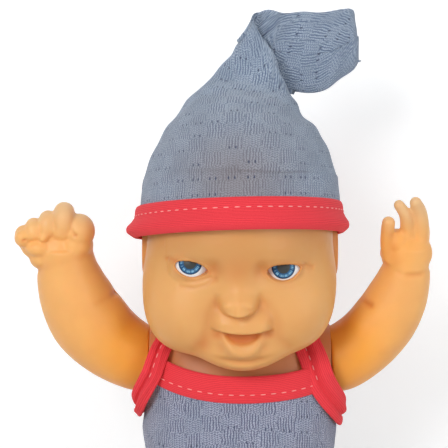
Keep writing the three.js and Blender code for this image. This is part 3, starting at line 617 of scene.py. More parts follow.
def face(x, z):
    """How far the skin comes forward at places of the face, and how deep its painted shade is there."""
    flat = np.stack([x, z], axis=1)
    from_nose, from_lips, from_chin = x + 0.7, x - 0.5, x - 0.7
    nose_base = 0.02 * (x + 0.8) ** 2 + 0.0011 * (x + 0.8) ** 4
    rise = 5.6 * hill(from_nose, 4.5) * np.where(z > 111.2, hill(z - 111.2, 4.4), 1)
    rise += 2.4 * pair(x, z, (-5.2, 110.9), (3.8, 111.1), 1.9, 2.4)
    nose_sides = ease(6.8 - np.abs(from_nose), -0.9, 1.1)
    rise *= 1 - (1 - nose_sides) * ease(115.5 - z, 0, 4)
    rise *= ease(z - (106.9 + nose_base), -0.9, 1.2)
    rise += 0.7 * bump(x, z, -0.8, 118.0, 6.0, 4)
    under_nose = ease(z - (105.8 + nose_base), -0.8, 0.6) * ease(107.9 + nose_base - z, -0.6, 0.8)

    lip_line = 100.3 + 0.0135 * from_lips**2
    upper_lip = hill(from_lips, 9.6, 8) * np.where(z > 103.6, hill(z - 103.6, 4.2), 1)
    rise += 3.2 * upper_lip * ease(z - lip_line, -0.3, 0.9)
    rise -= 0.3 * bump(x, z, -0.6, 105.0, 1.6, 2.4)
    lower_lip = 93.2 + 0.085 * from_chin**2
    rise += 1.4 * hill(z - lower_lip, 2.0) * hill(from_chin, 6.2, 4)
    bowl = 96.3 + 0.07 * from_lips**2
    mouth_sides = ease(6.0 - np.abs(from_lips), -1.2, 1.8)
    mouth = ease(lip_line - z, -0.25, 0.6) * ease(z - bowl, -0.6, 1.2) * mouth_sides
    corners = bump(x, z, -7.8, 99.5, 2.0, 1.6) + bump(x, z, 9.0, 99.9, 2.1, 1.6)
    chin_fold = hill(z - 90.2 - 0.012 * x**2, 1.3) * hill(x - 0.8, 8.4, 4)
    beside_lip = pair(x, z, (-6.8, 95.4), (8.0, 95.6), 1.8, 2.4)
    rise -= 1.5 * mouth + 0.9 * corners + 1.3 * chin_fold + 0.6 * beside_lip
    rise -= 0.9 * pair(x, z, (-9.6, 95.6), (10.4, 96.0), 3, 3.2)
    rise += 0.8 * bump(x, z, 0.8, 87.6, 5, 2.4)

    inner_eyes = pair(x, z, (-9.0, 122.6), (6.8, 122.8), 2.3, 3.2)
    cheeks = pair(x, z, (-21, 105), (20.5, 106), 8, 8)
    brows = pair(x, z, (-16.5, 130.6), (14.5, 129.8), 9, 3.2)
    rise += 1.1 * (cheeks + brows) - 1.3 * inner_eyes

    # The tone deepens where shade falls: in the open mouth and its corners, the chin fold, the inner corners of the
    # eyes, beside the lips and under the nose. All of it is painted shade.
    deep = 0.85 * mouth + 0.55 * corners + 0.3 * chin_fold + 0.35 * inner_eyes + 0.2 * beside_lip
    deep += 0.3 * under_nose * hill(from_nose, 6.0, 4) + 0.3 * bump(x, z, -12.6, 95.6, 2.6, 3.4)
    # The upper face and the place between the brows are painted deeper too: painted shade.
    deep += 0.08 * ease(z, 116, 132) + 0.3 * bump(x, z, -1, 122.5, 6, 5)
    for _, (eye_x, _, eye_z), _, outline in eyes:
        rise -= 2.0 * bump(x, z, eye_x, eye_z - 0.8, 8, 4.6)
        rise += 0.9 * bump(x, z, eye_x, eye_z + 4.6, 8, 2.4)
        rise += 0.6 * bump(x, z, eye_x, eye_z - 5.0, 6, 1.8)
        near = (np.abs(x - eye_x) < 12) & (np.abs(z - eye_z) < 10)
        depth = np.full(x.shape, -9.0)
        depth[near] = inside_by(flat[near], outline)
        # The rims of the eyes' openings and the skin inside them are painted deeper: painted shade.
        deep += 0.3 * hill(depth, 1.1) + 0.6 * ease(depth, -0.2, 0.4)
    for line, width, sink in creases:
        groove = sink * hill(line_distance(flat, line), width)
        rise -= groove
        # The creases are painted deeper: painted shade.
        deep += 0.4 * groove
    return rise, np.clip(deep, 0, 1)


def lids(points, facing):
    """Drapes the skin over the eyeballs, and sinks it inside each eye's opening."""
    x, y, z = points[:, 0], points[:, 1].copy(), points[:, 2]
    lid_radius = eye_radius + 0.75
    for _, (eye_x, _, eye_z), _, outline in eyes:
        near = (np.abs(x - eye_x) < 9) & (np.abs(z - eye_z) < 9) & (facing > 0.5)
        square = (x[near] - eye_x) ** 2 + (z[near] - eye_z) ** 2
        lid = eye_depth - np.sqrt(np.maximum(lid_radius**2 - square, 0.01))
        gap = np.clip(0.5 + (y[near] - lid) / 2.4, 0, 1)
        y[near] = y[near] * (1 - gap) + lid * gap - 1.2 * gap * (1 - gap)
        depth = inside_by(points[near][:, [0, 2]], outline)
        y[near] += 4.6 * ease(depth, -0.25, 0.45) - 0.25 * hill(depth + 0.7, 0.6)
    return y


print("the nose stands out", round(float(face(np.array([-0.7]), np.array([111.6]))[0][0]), 1), "mm")

# %% Push the sphere out to the head's skin
head = sphere("head_skin", 344, 250)
ball = points_of(head)
polar = math.pi * polar_share(ball) ** 1.42
round_it = np.arctan2(ball[:, 1], ball[:, 0])
sideways, upwards = np.sin(polar) * np.cos(round_it), np.sin(polar) * np.sin(round_it)
directions = np.stack([sideways, -np.cos(polar), upwards], axis=1)
skin = head_middle + directions * head_reach(directions)[:, None]
facing = ease(-directions[:, 1], 0.15, 0.6)
rise, deep = face(skin[:, 0], skin[:, 2])
skin[:, 1] -= rise * facing
skin[:, 1] = lids(skin, facing)
put_points(head, in_metres(skin))
head_shade_tone = deep * facing
print("head skin:", len(head.data.polygons), "faces")

# %% [markdown]
# ### Tone of the skin
# A point attribute keeps the vinyl's tone. It goes from the plain skin colour to a deep orange in the folds, which is
# painted shade.
# %% Write a tone onto a piece
plain_skin = np.array(linear(229, 170, 102)[:3])
deep_skin = np.array(linear(200, 96, 18)[:3])


def painted(piece, depth, body, node=None, base=plain_skin):
    """Stores a tone on a piece's points, from its base colour to the deep orange of painted shade, and dresses it in
    vinyl.
    """
    share = np.broadcast_to(np.clip(depth, 0, 1), len(piece.data.vertices))[:, None]
    colours = np.ones((len(share), 4))
    colours[:, :3] = base * (1 - share) + deep_skin * share
    layer = piece.data.color_attributes.new("skin_tone_and_shade", "FLOAT_COLOR", "POINT")
    layer.data.foreach_set("color", colours.ravel())
    return dressed(piece, vinyl, body, node)


skin = drawn_points(head)
# The upper face is painted darker, a painted shade under the cap's brim, and the nose tip lighter, a painted highlight.
brim_shade_and_nose_highlight = 1 - 0.15 * ease(skin[:, 2], 112, 132)
brim_shade_and_nose_highlight += 0.08 * bump(skin[:, 0], skin[:, 2], -0.7, 111.5, 5, 3.5) * (skin[:, 1] < -30)
painted(head, head_shade_tone, "head", "head", plain_skin * brim_shade_and_nose_highlight[:, None])
print("tone painted on", head.name)

# %% Helper: a closed tube along a path
def tube(name, stops, sizes, around=56, along=90):
    """A closed tube along a path; sizes holds its half height and half depth at each stop."""
    piece = sphere(name, around, along)
    ball = points_of(piece)
    polar = polar_share(ball)
    end, step = 0.06, 0.004
    share = np.clip((polar - end) / (1 - 2 * end), 0, 1)
    closing = np.minimum(1, np.minimum(polar, 1 - polar) / end)
    ahead = unit(through(stops, np.minimum(share + step, 1)) - through(stops, np.maximum(share - step, 0)))
    size = through(sizes, share)
    guide = np.where(np.abs(ahead[:, 1:2]) > 0.8, [[1.0, 0, 0]], [[0, 1.0, 0]])
    side = square_to(ahead, guide)
    up = np.cross(ahead, side)
    angle = np.arctan2(ball[:, 1], ball[:, 0])
    spread = np.cos(angle)[:, None] * side * size[:, 1:2] + np.sin(angle)[:, None] * up * size[:, 0:1]
    return put_points(piece, through(stops, share) + spread * closing[:, None])


print("tube helper ready")

# %% Ears and neck
def ear(name, side):
    piece = sphere(name, 96, 64)
    ball = points_of(piece)
    out = ball[:, 0] * side
    hollow = 0.55 * bump(ball[:, 1], ball[:, 2], -0.05, 0.12, 0.5, 0.55)
    rim = 0.14 * hill(np.hypot(ball[:, 1], ball[:, 2]) - 0.82, 0.14)
    shape = np.array([side * 32.6, 1.8, 122]) + ball * [3.2, 5.6, 12]
    shape[:, 0] += side * (rim - hollow) * 2.6 * ease(out, 0.1, 0.5)
    shape[:, 2] -= 0.6 * ball[:, 2] ** 2 * (ball[:, 1] > 0)
    put_points(piece, in_metres(shape))
    # The ear's tone deepens in its hollow: painted shade.
    painted(piece, 0.25 + 0.5 * hollow * ease(out, 0.1, 0.5), "head")


ear("right_ear", -1)
ear("left_ear", 1)
neck_stops = [(0, 0, 93.6), (0, 0, 98.0), (0, 0, 103.0), (0, 0, 110.0)]
neck = tube("neck", neck_stops, [(12.7, 12.7), (13.2, 13.2), (13.2, 13.2), (13.0, 13.0)])
put_points(neck, in_metres(points_of(neck)))
outwards(neck)
painted(neck, 0.35, "head")
print("ears and neck made")

# %% [markdown]
# ### Eyes
# Each eye is a ball that sits behind the lids, and its iris is a thin cap on the front of it. The doll looks a little
# up, so the upper lid covers the top of each pupil.
# %% Eyes and irises
for side, centre, look, _ in eyes:
    ball = sphere(side + "_eyeball", 64, 40)
    put_points(ball, in_metres(np.array(centre) + points_of(ball) * eye_radius))
    dressed(ball, eye_white, "head", side + "_eye")

    iris = grid(side + "_iris_disc", 64, 20)
    across, along = points_of(iris)[:, 0] + 0.5, points_of(iris)[:, 1] + 0.5
    angle = across * full_turn
    aim = np.array([look[0] - centre[0], 0.0, look[1] - centre[2]])
    aim[1] = -math.sqrt(eye_radius**2 - aim[0] ** 2 - aim[2] ** 2)
    aim /= eye_radius
    level = np.cross([0.0, 0.0, 1.0], aim)
    level /= np.linalg.norm(level)
    upright = np.cross(aim, level)
    spread = (np.maximum(along, 0.002) * math.asin(iris_radius / eye_radius))[:, None]
    turned = np.cos(angle)[:, None] * level + np.sin(angle)[:, None] * upright
    radius = eye_radius + 0.12 - 0.06 * along**4
    place = np.array(centre) + radius[:, None] * (np.cos(spread) * aim + np.sin(spread) * turned)
    put_points(iris, in_metres(place))
    put_uv(iris, along * np.cos(angle), along * np.sin(angle))
    outwards(iris)
    dressed(iris, iris_blue, "head", side + "_iris")
print("eyes made")

# %% [markdown]
# ## Arms
# Each arm is one hollow moulding, plugged into the shoulder, with its hand. The limb is a tube along a bent path; palm,
# fingers and thumb are round lumps set into it. Joined and remeshed to one skin, then smoothed, the lumps melt
# together as they do in a mould. Creases are pressed in afterwards, because a remesh would blur them.
# %% Lumps: ball and finger
def lump(centre, size):
    piece = sphere("lump", 32, 20)
    return put_points(piece, np.array(centre) + points_of(piece) * size)


def finger(rows):
    """A finger through places, each with the finger's radius there, and with a round tip."""
    rows = np.array(rows, float)
    piece = tube("finger", rows[:, :3], rows[:, [3, 3]], 24, 24)
    return joined("finger", [piece, lump(rows[-1, :3], rows[-1, 3])])


def moulded(name, lumps, mirror, place, voxel, smoothing):
    """Joins lumps drawn in a joint's own frame, sets them on the doll and melts them into one skin."""
    for piece in lumps:
        points = points_of(piece)
        points[:, 0] *= mirror
        put_points(piece, in_metres(place(points)))
    piece = joined(name, lumps)
    outwards(piece)
    finished_with(piece, "REMESH", mode="VOXEL", voxel_size=voxel * MM, adaptivity=0)
    finished_with(piece, "SMOOTH", factor=0.5, iterations=smoothing)
    return piece


def pressed(piece, marks):
    """Presses grooves, or raises pads, along lines on a piece; each mark has its stops, width and height."""
    points = drawn_points(piece)
    normals = points_of(piece, "normal")
    rise = np.zeros(len(points))
    depth = np.zeros(len(points))
    for stops, width, height in marks:
        mark = hill(line_distance(points, stops), width)
        rise += height * mark
        depth += np.maximum(0, -height) * mark
    put_points(piece, in_metres(points + normals * rise[:, None]))
    return depth


print("lump helpers ready")

# %% Arm paths, from the shoulder joint outwards
def arm_path(stouter):
    rows = [(0.3, 0, 0, 11.6, 11.6, 0), (3.5, 0, 0.2, 12, 12, 0), (12.5, -1, 6, 12.4, 12.4, 0.6),
            (20, -2, 14.5, 12.7, 12.7, 1), (24.6, -3, 23.5, 11.8, 11.8, 1), (27, -4, 31.5, 10.2, 10.4, 1),
            (27.8, -5, 38, 8.8, 9, 1), (28.2, -6, 44, 8.8, 8, 1)]
    stops = [(x + share * stouter, y, z) for x, y, z, _, _, share in rows]
    sizes = [(high + share * stouter, deep + share * stouter) for _, _, _, high, deep, share in rows]
    return stops, sizes


def at_shoulder(side):
    return lambda points: points + np.array([side * shoulder_plane, 0, shoulder_height])


print("the right arm starts at x =", -shoulder_plane, "mm")

# %% Right arm, with its fist
# Four fingers curl over the palm, and the thumb's mound lies beside them.
fist = [
    tube("right_arm_tube", *arm_path(1.3)),
    lump((33.4, -4.4, 44.8), (12.6, 8.2, 8.4)),
    lump((24.1, -8.0, 48.6), (5.6, 6.8, 6.2)),
    lump((39.6, -5.6, 43.4), (5.6, 6.0, 5.2)),
    lump((37.0, -6.0, 39.8), (5.2, 6.0, 6.0)),
    lump((38.2, -9.8, 43.2), (4.8, 4.4, 3.2)),
    lump((31.0, -7.4, 42.6), (8.4, 6.4, 5.6)),
    lump((25.4, -8.2, 43.6), (5.8, 6.4, 5.8)),
    lump((29.8, -9.4, 49.6), (4.6, 5.0, 4.4)),
    lump((36.3, -13.0, 47.4), (1.7, 1.7, 1.6)),
]
knuckles = ((29.2, 55.4, 51.4, 3.7), (34.9, 52.9, 49.8, 3.2), (39.9, 50.5, 48.6, 3.0), (43.5, 47.6, 47.2, 3.2))
for x, z, low, size in knuckles:
    curl = [(x, -4, z - 4, size - 0.2), (x, -8, z, size), (x, -10.6, z - 0.9, size), (x, -11.6, low, size - 0.5)]
    fist.append(finger(curl))
right_arm = moulded("right_arm_skin", fist, -1, at_shoulder(-1), 0.46, 7)
marks = [
    ([(-75.6, -13.6, 127.0), (-70.0, -16.4, 126.6), (-62.5, -16.8, 127.2), (-57.0, -15.4, 129.2)], 0.7, -0.8),
    ([(-57.6, -14.4, 129.0), (-59.4, -12.0, 132.6), (-59.2, -9.0, 135.4)], 0.7, -0.7),
    ([(-44.2, 0.0, 105.4), (-45.8, -6.5, 105.2), (-49.2, -11.0, 104.4), (-51.0, -12.4, 103.8)], 1.2, -1.0),
    ([(-73.4, -3.0, 114.0), (-70.0, -11.0, 116.2), (-62.0, -14.0, 119.4), (-55.0, -12.0, 121.0),
      (-51.4, -4.0, 121.2)], 1.6, -0.35),
    ([(-40.5, -6.0, 100.4), (-44.0, -10.0, 98.0)], 4.0, 0.7),
]
right_depth = pressed(right_arm, marks)
print("right arm skin:", len(right_arm.data.polygons), "faces")

# %% Left arm, with its open hand
hand = [
    tube("left_arm_tube", *arm_path(-1.0)),
    lump((26.2, -6.0, 40.2), (9.3, 6.8, 7.8)),
    lump((22.4, -7.6, 44.6), (4.6, 4.8, 4.8)),
    finger([(30.0, -6.0, 42, 3.6), (30.7, -7.2, 49.6, 3.3), (30.0, -9.6, 56.0, 2.7), (28.5, -12.0, 59.6, 2.1)]),
    finger([(31.2, -3.6, 42, 3.2), (31.8, -4.2, 48.0, 2.8), (31.0, -6.0, 52.0, 2.3), (29.8, -8.0, 54.6, 2.0)]),
    finger([(26.8, -7.0, 42, 2.9), (26.1, -8.6, 49.6, 2.5), (25.0, -11.0, 55.2, 2.2), (22.7, -12.4, 58.8, 1.9)]),
    finger([(21.0, -7.4, 38, 3.4), (19.4, -9.0, 44.0, 2.7), (19.1, -11.0, 49.6, 2.45), (19.2, -12.0, 52.4, 2.35)]),
]
left_arm = moulded("left_arm_skin", hand, 1, at_shoulder(1), 0.46, 6)
marks = [
    ([(41.2, 0.0, 104.2), (42.8, -6.0, 103.8), (45.6, -10.4, 103.0)], 1.2, -1.0),
    ([(48.8, -5.0, 118.8), (51.6, -11.8, 116.4), (57.0, -14.0, 114.6), (63.0, -12.0, 114.4),
      (67.4, -4.0, 115.6)], 0.9, -0.6),
    ([(51.4, -14.0, 88.6), (52.0, -13.8, 88.2)], 2.8, 0.55),
    ([(59.7, -14.6, 136.4), (59.7, -13.4, 131.6), (60.0, -12.4, 127.0)], 1.0, -1.1),
    ([(53.4, -13.0, 127.6), (51.8, -12.6, 121.6)], 2.6, -0.45),
    ([(46.6, -14.2, 91.4), (50.0, -14.8, 92.0), (54.2, -13.8, 90.6), (55.4, -12.6, 88.0), (53.4, -12.2, 85.6),
      (49.6, -13.0, 85.2)], 0.7, -0.3),
    ([(38.0, -6.0, 98.6), (41.0, -10.0, 96.0)], 4.0, 0.6),
]
left_depth = pressed(left_arm, marks)
print("left arm skin:", len(left_arm.data.polygons), "faces")

# %% Tone of the arms
# The arms go a deeper orange towards the shoulder and on the inner upper arm, which is painted shade and painted glow
# of light through the vinyl, and on the left palm. Their creases are painted deeper as painted shade, and they are
# paler at the fingertips.
arm_skin = np.array(linear(246, 182, 107)[:3])
shoulder_glow_and_shade = np.array(linear(254, 172, 66)[:3])
fingertip_skin = np.array(linear(236, 194, 142)[:3])


def paint_arm(piece, depth, side, name):
    x, _, z = drawn_points(piece).T
    out = x * side
    from_joint = np.hypot(out - shoulder_plane, z - shoulder_height)
    inner = bump(out, z, 37, 92, 15.0, 15.0)
    palm = bump(x, z, 54, 124, 8.0, 8.0)
    # Near the shoulder and on the inner upper arm, the tone goes to a deeper orange: painted shade and painted glow of
    # light through the vinyl. The left palm is deepened the same way.
    near = np.clip(0.9 * inner + 0.5 * ease(-from_joint, -24, -4) + 0.4 * palm, 0, 1)[:, None]
    tip = ease(z, 126, 141)[:, None]
    base = arm_skin * (1 - near) + shoulder_glow_and_shade * near
    base = base * (1 - tip) + fingertip_skin * tip
    # The creases are painted deeper: painted shade.
    painted(piece, np.clip(depth * 0.55, 0, 0.8), name, name, base)


paint_arm(right_arm, right_depth, -1, "right_arm")
paint_arm(left_arm, left_depth, 1, "left_arm")
print("arms painted")

# %% [markdown]
# ## Legs
# The photograph ends above the legs. They are what such a doll has: plump, a little bent, with the feet up, and they
# turn at tilted hip joints.
# %% Legs
thigh_out = 15.4
leg_stops = [(thigh_out, 14, 0.4), (thigh_out, 12.6, 0.4), (thigh_out, 8, 0.4), (thigh_out, 0, 0.4),
             (thigh_out + 0.4, -12, 1), (thigh_out + 1.4, -24, 1.8), (thigh_out + 2.6, -33, 2.4),
             (thigh_out + 4, -43, 1.6), (thigh_out + 5.8, -54, -0.6), (thigh_out + 7, -61, -1.6),
             (thigh_out + 7.6, -65, -2)]
leg_sizes = [(3, 3), (7.4, 7.4), (12.4, 12.4), (14.6, 12.7), (13.0, 12.7), (12.8, 12.8), (12, 12), (12.2, 12),
             (10.4, 10.4), (8.8, 8.8), (8.4, 8.4)]


def at_hip(side):
    turn = side * hip_tilt
    spin = np.array([[math.cos(turn), 0, -math.sin(turn)], [0, 1, 0], [math.sin(turn), 0, math.cos(turn)]])
    return lambda points: points @ spin + np.array([side * hip_plane, -1, hip_height])


def leg_crease(side, y, x, radius):
    """A line most of the way round a leg, at one place along it."""
    angles = np.linspace(-1.2, 4.3, 16)
    ring = [(side * (x + radius * math.cos(a)), y, 1.5 + radius * math.sin(a)) for a in angles]
    return at_hip(side)(np.array(ring))


def leg(name, side):
    heel = np.array([thigh_out + 8.4, -68.5, -3.4])
    root_stops = [(0.3, 0, 0), (8, 0, 0), (thigh_out, 0, 0)]
    foot_stops = [heel, heel + [0.9, -1.8, 7.3], heel + [1.8, -3.5, 14.6]]
    lumps = [
        tube("leg_tube", leg_stops, leg_sizes),
        tube("leg_root", root_stops, [(14.2, 14.2)] * 3, 56, 30),
        tube("foot", foot_stops, [(7.6, 7.6), (7.6, 7.2), (7.2, 6.6)], 40, 30),
        lump(heel, (7.9, 7.9, 7.9)),
        lump(heel + [1.6, -3.5, 16.6], (9.2, 5.8, 7.0)),
    ]
    for toe in range(5):
        size = 2.9 if toe == 0 else 2.3
        drop = abs(toe - 1) * 0.7
        x, y, z = thigh_out + 11 + (toe - 2) * 3.5, -74.0, 17.2 - drop
        lumps.append(finger([(x, y + 2, z - 1, size), (x, y, z + 1.4, size), (x, y - 0.8, z + 3.4, size - 0.3)]))
    piece = moulded(name + "_skin", lumps, side, at_hip(side), 0.6, 6)
    knee = leg_crease(side, -33, thigh_out + 2.4, 12.4)
    ankle = leg_crease(side, -60, thigh_out + 6.8, 9.3)
    depth = pressed(piece, [(knee, 1.1, -0.8), (ankle, 0.9, -0.8)])
    # The knee and ankle creases are painted deeper: painted shade.
    return painted(piece, np.clip(depth * 0.5, 0, 0.7), name, name, arm_skin)


legs = [leg("right_leg", -1), leg("left_leg", 1)]
print("legs:", [len(piece.data.polygons) for piece in legs], "faces")

# %% [markdown]
# ## Torso
# The torso is a hollow vinyl barrel with flat faces for the shoulder and hip joints. Little of it shows: the chest
# under the chin, the shoulders and the top of the back. Its section is a squarish oval whose size runs up a profile.
# %% Torso section and body
torso_top, seat_height = 93.2, 6.1
rings = np.array([(0.02, 0.02, 0), (0.4, 0.5, 0), (0.62, 0.74, 0.012), (0.78, 0.9, 0.06), (0.92, 1, 0.14),
                  (0.985, 1.03, 0.26), (1, 1.02, 0.4), (0.985, 0.98, 0.53), (0.96, 0.92, 0.66), (0.935, 0.84, 0.79),
                  (0.915, 0.74, 0.88), (0.86, 0.62, 0.95), (0.72, 0.5, 0.988), (0.45, 0.42, 1)])
torso_profile = rings * [34.0, 26.0, torso_top - seat_height] + [0, 0, seat_height]
seat_share = 0.13
squareness = 2.6
front_depth, back_depth = 1.05, 0.95


def torso_place(along, angle, grow):
    """Points on the torso: along runs from the crotch to the neck, and angle 0 is the doll's left."""
    size = through(torso_profile, along)
    c, s = np.cos(angle), np.sin(angle)
    spread = grow * np.minimum(1, along / seat_share)
    width = np.maximum(0.2, size[:, 0] + spread)
    depth = np.maximum(0.2, (size[:, 1] + spread) * np.where(s < 0, front_depth, back_depth))
    sink = grow * (1 - ease(along, seat_share, 2 * seat_share))
    height = np.maximum(size[:, 2], seat_height) - sink + grow * ease(along, 0.88, 1)
    widest = hip_plane + (height - hip_height) * math.tan(hip_tilt) + grow / math.cos(hip_tilt)
    x = np.sign(c) * np.minimum(np.abs(c) ** (2 / squareness) * width, widest)
    y = np.sign(s) * np.abs(s) ** (2 / squareness) * depth
    return np.stack([x, y, height], axis=1)


torso = sphere("torso_skin", 160, 120)
ball = points_of(torso)
share = 1 - polar_share(ball)
body = torso_place(np.clip(share, 0, 1), np.arctan2(ball[:, 1], ball[:, 0]), -0.05)
top = share > 0.985
body[top, :2] *= np.clip((1 - share[top]) / 0.015, 0.02, 1)[:, None]
put_points(torso, in_metres(body))
torso_skin = np.array(linear(206, 134, 84)[:3])
painted(torso, 0, "body", "torso", torso_skin)
print("torso skin:", len(torso.data.polygons), "faces")

# %% Shoulder bosses
boss_length, boss_radius = 10.0, 12.0
for side, name in ((-1, "right_shoulder_boss"), (1, "left_shoulder_boss")):
    stops = [(-boss_length, 0, 0), (-boss_length / 2, 0, 0), (0, 0, 0)]
    boss = tube(name, stops, [(boss_radius, boss_radius)] * 3, 96, 40)
    points = points_of(boss)
    points[:, 0] *= side
    put_points(boss, in_metres(at_shoulder(side)(points)))
    outwards(boss)
    painted(boss, 0.2, "body", base=torso_skin)
print("shoulder bosses made")

# %% [markdown]
# ## Romper panels
# The romper is two panels of the same knit, seamed at the sides and between the legs. It fits closely, so each panel is
# a grid laid on the torso's own section a little further out, with a seam line at the sides, and a Solidify
# modifier gives it its thickness. The faces inside the leg openings are deleted before that.
# %% Helpers for cloth
def cloth_lengths(points, across, along):
    """How far each point of a grid lies from its middle column and its first row, on the cloth."""
    order = np.lexsort((across, along))
    columns = int(np.sum(along == along.min()))
    rows = points[order].reshape(-1, columns, 3)
    steps = np.linalg.norm(np.diff(rows, axis=1), axis=2)
    sideways = np.concatenate([np.zeros((len(rows), 1)), np.cumsum(steps, axis=1)], axis=1)
    sideways -= sideways[:, columns // 2][:, None]
    steps = np.linalg.norm(np.diff(rows, axis=0), axis=2)
    lengthways = np.concatenate([np.zeros((1, columns)), np.cumsum(steps, axis=0)], axis=0)
    u, v = np.empty(len(points)), np.empty(len(points))
    u[order], v[order] = sideways.ravel(), lengthways.ravel()
    return u, v


def put_warmth(piece, values):
    layer = piece.data.attributes.new("warmth", "FLOAT", "POINT")
    layer.data.foreach_set("value", np.asarray(values, float))


def waves(seed, x, y, count, length):
    """A soft, seeded pattern of gentle waves, about -1 to 1."""
    rng = np.random.default_rng(seed)
    total = np.zeros(x.shape)
    for _ in range(count):
        angle, phase = rng.uniform(0, full_turn, 2)
        pitch = length * rng.uniform(0.7, 1.6)
        total += np.sin((x * math.cos(angle) + y * math.sin(angle)) * full_turn / pitch + phase)
    return total / math.sqrt(count)


print("cloth helpers ready")

# %% Panels laid on the torso
cloth_gap, cloth_thickness = 0.9, 1.2
strap_low, strap_side, strap_high = 21.8, 18.4, 13.3
tape_width, tape_thickness = 9.6, 1.8
tape_low, tape_dip, tape_reach = 71.2, 5.0, 24.6
tucked_up, side_rise = 1.2, 6.0


def tape_edge(x):
    """The height of the chest tape's lower edge, which rises more towards the doll's right."""
    return tape_low + np.where(x > 0, 0.4, 0.72) * tape_dip * (x / (tape_reach + 2)) ** 2


def profile_at(height, halvings=22):
    """How far up the torso's profile each height lies, found by halving."""
    low, high = np.zeros(len(height)), np.ones(len(height))
    for _ in range(halvings):
        middle = (low + high) / 2
        below = through(torso_profile, middle)[:, 2] < height
        low, high = np.where(below, middle, low), np.where(below, high, middle)
    return low


def panel_top(angle):
    """The panel runs up under its tape in the middle, and down to the strap's tape at the sides."""
    x = torso_place(np.full(len(angle), 0.75), angle, 0)[:, 0]
    aside = ease(np.abs(x), 27.6, 33.6)
    middle = tape_edge(np.clip(x, -30, tape_reach)) + tucked_up
    side = shoulder_height - strap_low - tape_width / 2 + side_rise
    return middle * (1 - aside) + side * aside


def hip_axis(side):
    """Which way a hip joint's axis points, outwards from the doll."""
    return np.array([side * math.cos(hip_tilt), 0, -math.sin(hip_tilt)])


def leg_openings(piece, radius=18.6):
    """Cuts the leg openings: points near an edge move onto it, and the faces inside are deleted."""
    slice_width, past_edge, short_of_edge = 7, 0.45, 0.55
    points = drawn_points(piece)
    inside = np.zeros(len(points), bool)
    for side in (-1, 1):
        axis = hip_axis(side)
        away = points - [side * hip_plane, -1, hip_height]
        square = away - (away @ axis)[:, None] * axis
        length = np.linalg.norm(square, axis=1)
        near = (np.abs(away @ axis) < slice_width) & (length < radius + past_edge)
        edge = near & (length > radius - short_of_edge)
        points[edge] += (square * (radius / np.maximum(length, 0.1) - 1)[:, None])[edge]
        inside |= near
    put_points(piece, in_metres(points))
    select(piece)
    bpy.ops.object.mode_set(mode="EDIT")
    bpy.ops.mesh.select_mode(type="FACE")
    bpy.ops.mesh.select_all(action="DESELECT")
    bpy.ops.object.mode_set(mode="OBJECT")
    for polygon in piece.data.polygons:
        polygon.select = all(inside[i] for i in polygon.vertices)
    bpy.ops.object.mode_set(mode="EDIT")
    bpy.ops.mesh.delete(type="FACE")
    bpy.ops.object.mode_set(mode="OBJECT")


def panel(name, front):
    piece = grid(name + "_cloth", 150, 110)
    across, along = shares_of(piece)
    turn = -1 if front else 1
    angle = turn * math.pi * across
    crotch = 0.002
    share = crotch + (profile_at(panel_top(angle)) - crotch) * along
    out = cloth_gap + 0.6 - 0.5 * ease(along, 0.9, 0.97)
    points = torso_place(share, angle, out)
    seam = 0.5 * hill(np.minimum(across, 1 - across), 0.012)
    ripple = 0.16 * waves(5 if front else 6, points[:, 0], points[:, 2], 9, 17.0)
    ripple *= ease(along, 0.15, 0.4)
    further = torso_place(share, angle, out + 1)
    points += (further - points) * (ripple - seam)[:, None]
    points[:, 1] = turn * np.maximum(turn * points[:, 1], 0.15)
    u, v = cloth_lengths(points, across, along)
    put_points(piece, in_metres(points))
    put_uv(piece, u, v - v.max())
    put_warmth(piece, np.zeros(len(points)))
    outwards(piece)
    leg_openings(piece)
    finished_with(piece, "SOLIDIFY", thickness=cloth_thickness * MM, offset=0, use_even_offset=False)
    return dressed(piece, romper_knit, "body", name)


front_panel = panel("romper_front", True)
back_panel = panel("romper_back", False)
print("panels:", len(front_panel.data.polygons), len(back_panel.data.polygons), "faces")

# %% [markdown]
# ## Tapes
# Each tape is a flat band folded over an edge of the cloth. A rounded section is swept along the edge, with the flat
# side out. The ribs and the fuzz come from the tape's material, and a row of small pink stitches is sewn along it.
# %% Helper: a tape along places, each with the way it faces
section_power = 0.62
narrowest, end_rows = 0.02, 1.5


def swept_tape(name, places, facings, looped, body="body", width=tape_width, thickness=tape_thickness,
               around=36, shape=None):
    """A tape along places, in place of the node of its name; shape may change its section along it."""
    runs = runs_of(places, looped)
    if looped:
        places, facings, runs = [np.vstack([rows, rows[:1]]) for rows in (places, facings, runs)]
    facings = square_to(runs, facings)
    broad = np.cross(runs, facings)
    last = len(places) - 1
    piece = grid(name + "_tape", around, last)
    across, along = shares_of(piece)
    row = np.rint(along * last).astype(int)
    angle = across * full_turn
    c, s = np.cos(angle), np.sin(angle)
    w = np.sign(c) * np.abs(c) ** section_power * width / 2
    t = (0.5 + 0.5 * np.sign(s) * np.abs(s) ** section_power) * thickness
    if not looped:
        closing = np.minimum(1, np.minimum(along, 1 - along) * last / end_rows)
        closing = narrowest + (1 - narrowest) * closing
        w, t = w * closing, thickness / 2 + (t - thickness / 2) * closing
    if shape is not None:
        w, t = shape(w, t, along)
    points = places[row] + broad[row] * w[:, None] + facings[row] * t[:, None]
    order = np.lexsort((across, along))
    columns = int(np.sum(along == along.min()))
    rows = points[order].reshape(-1, columns, 3)
    girth = lengths_along(rows[len(rows) // 2])
    column = np.rint(across * (columns - 1)).astype(int)
    put_points(piece, in_metres(points))
    put_uv(piece, lengths_along(places)[row], girth[column])
    outwards(piece)
    return dressed(piece, tape, body, name)


def at_length(length, walked, rows):
    return np.array([np.interp(length, walked, rows[:, i]) for i in range(3)])


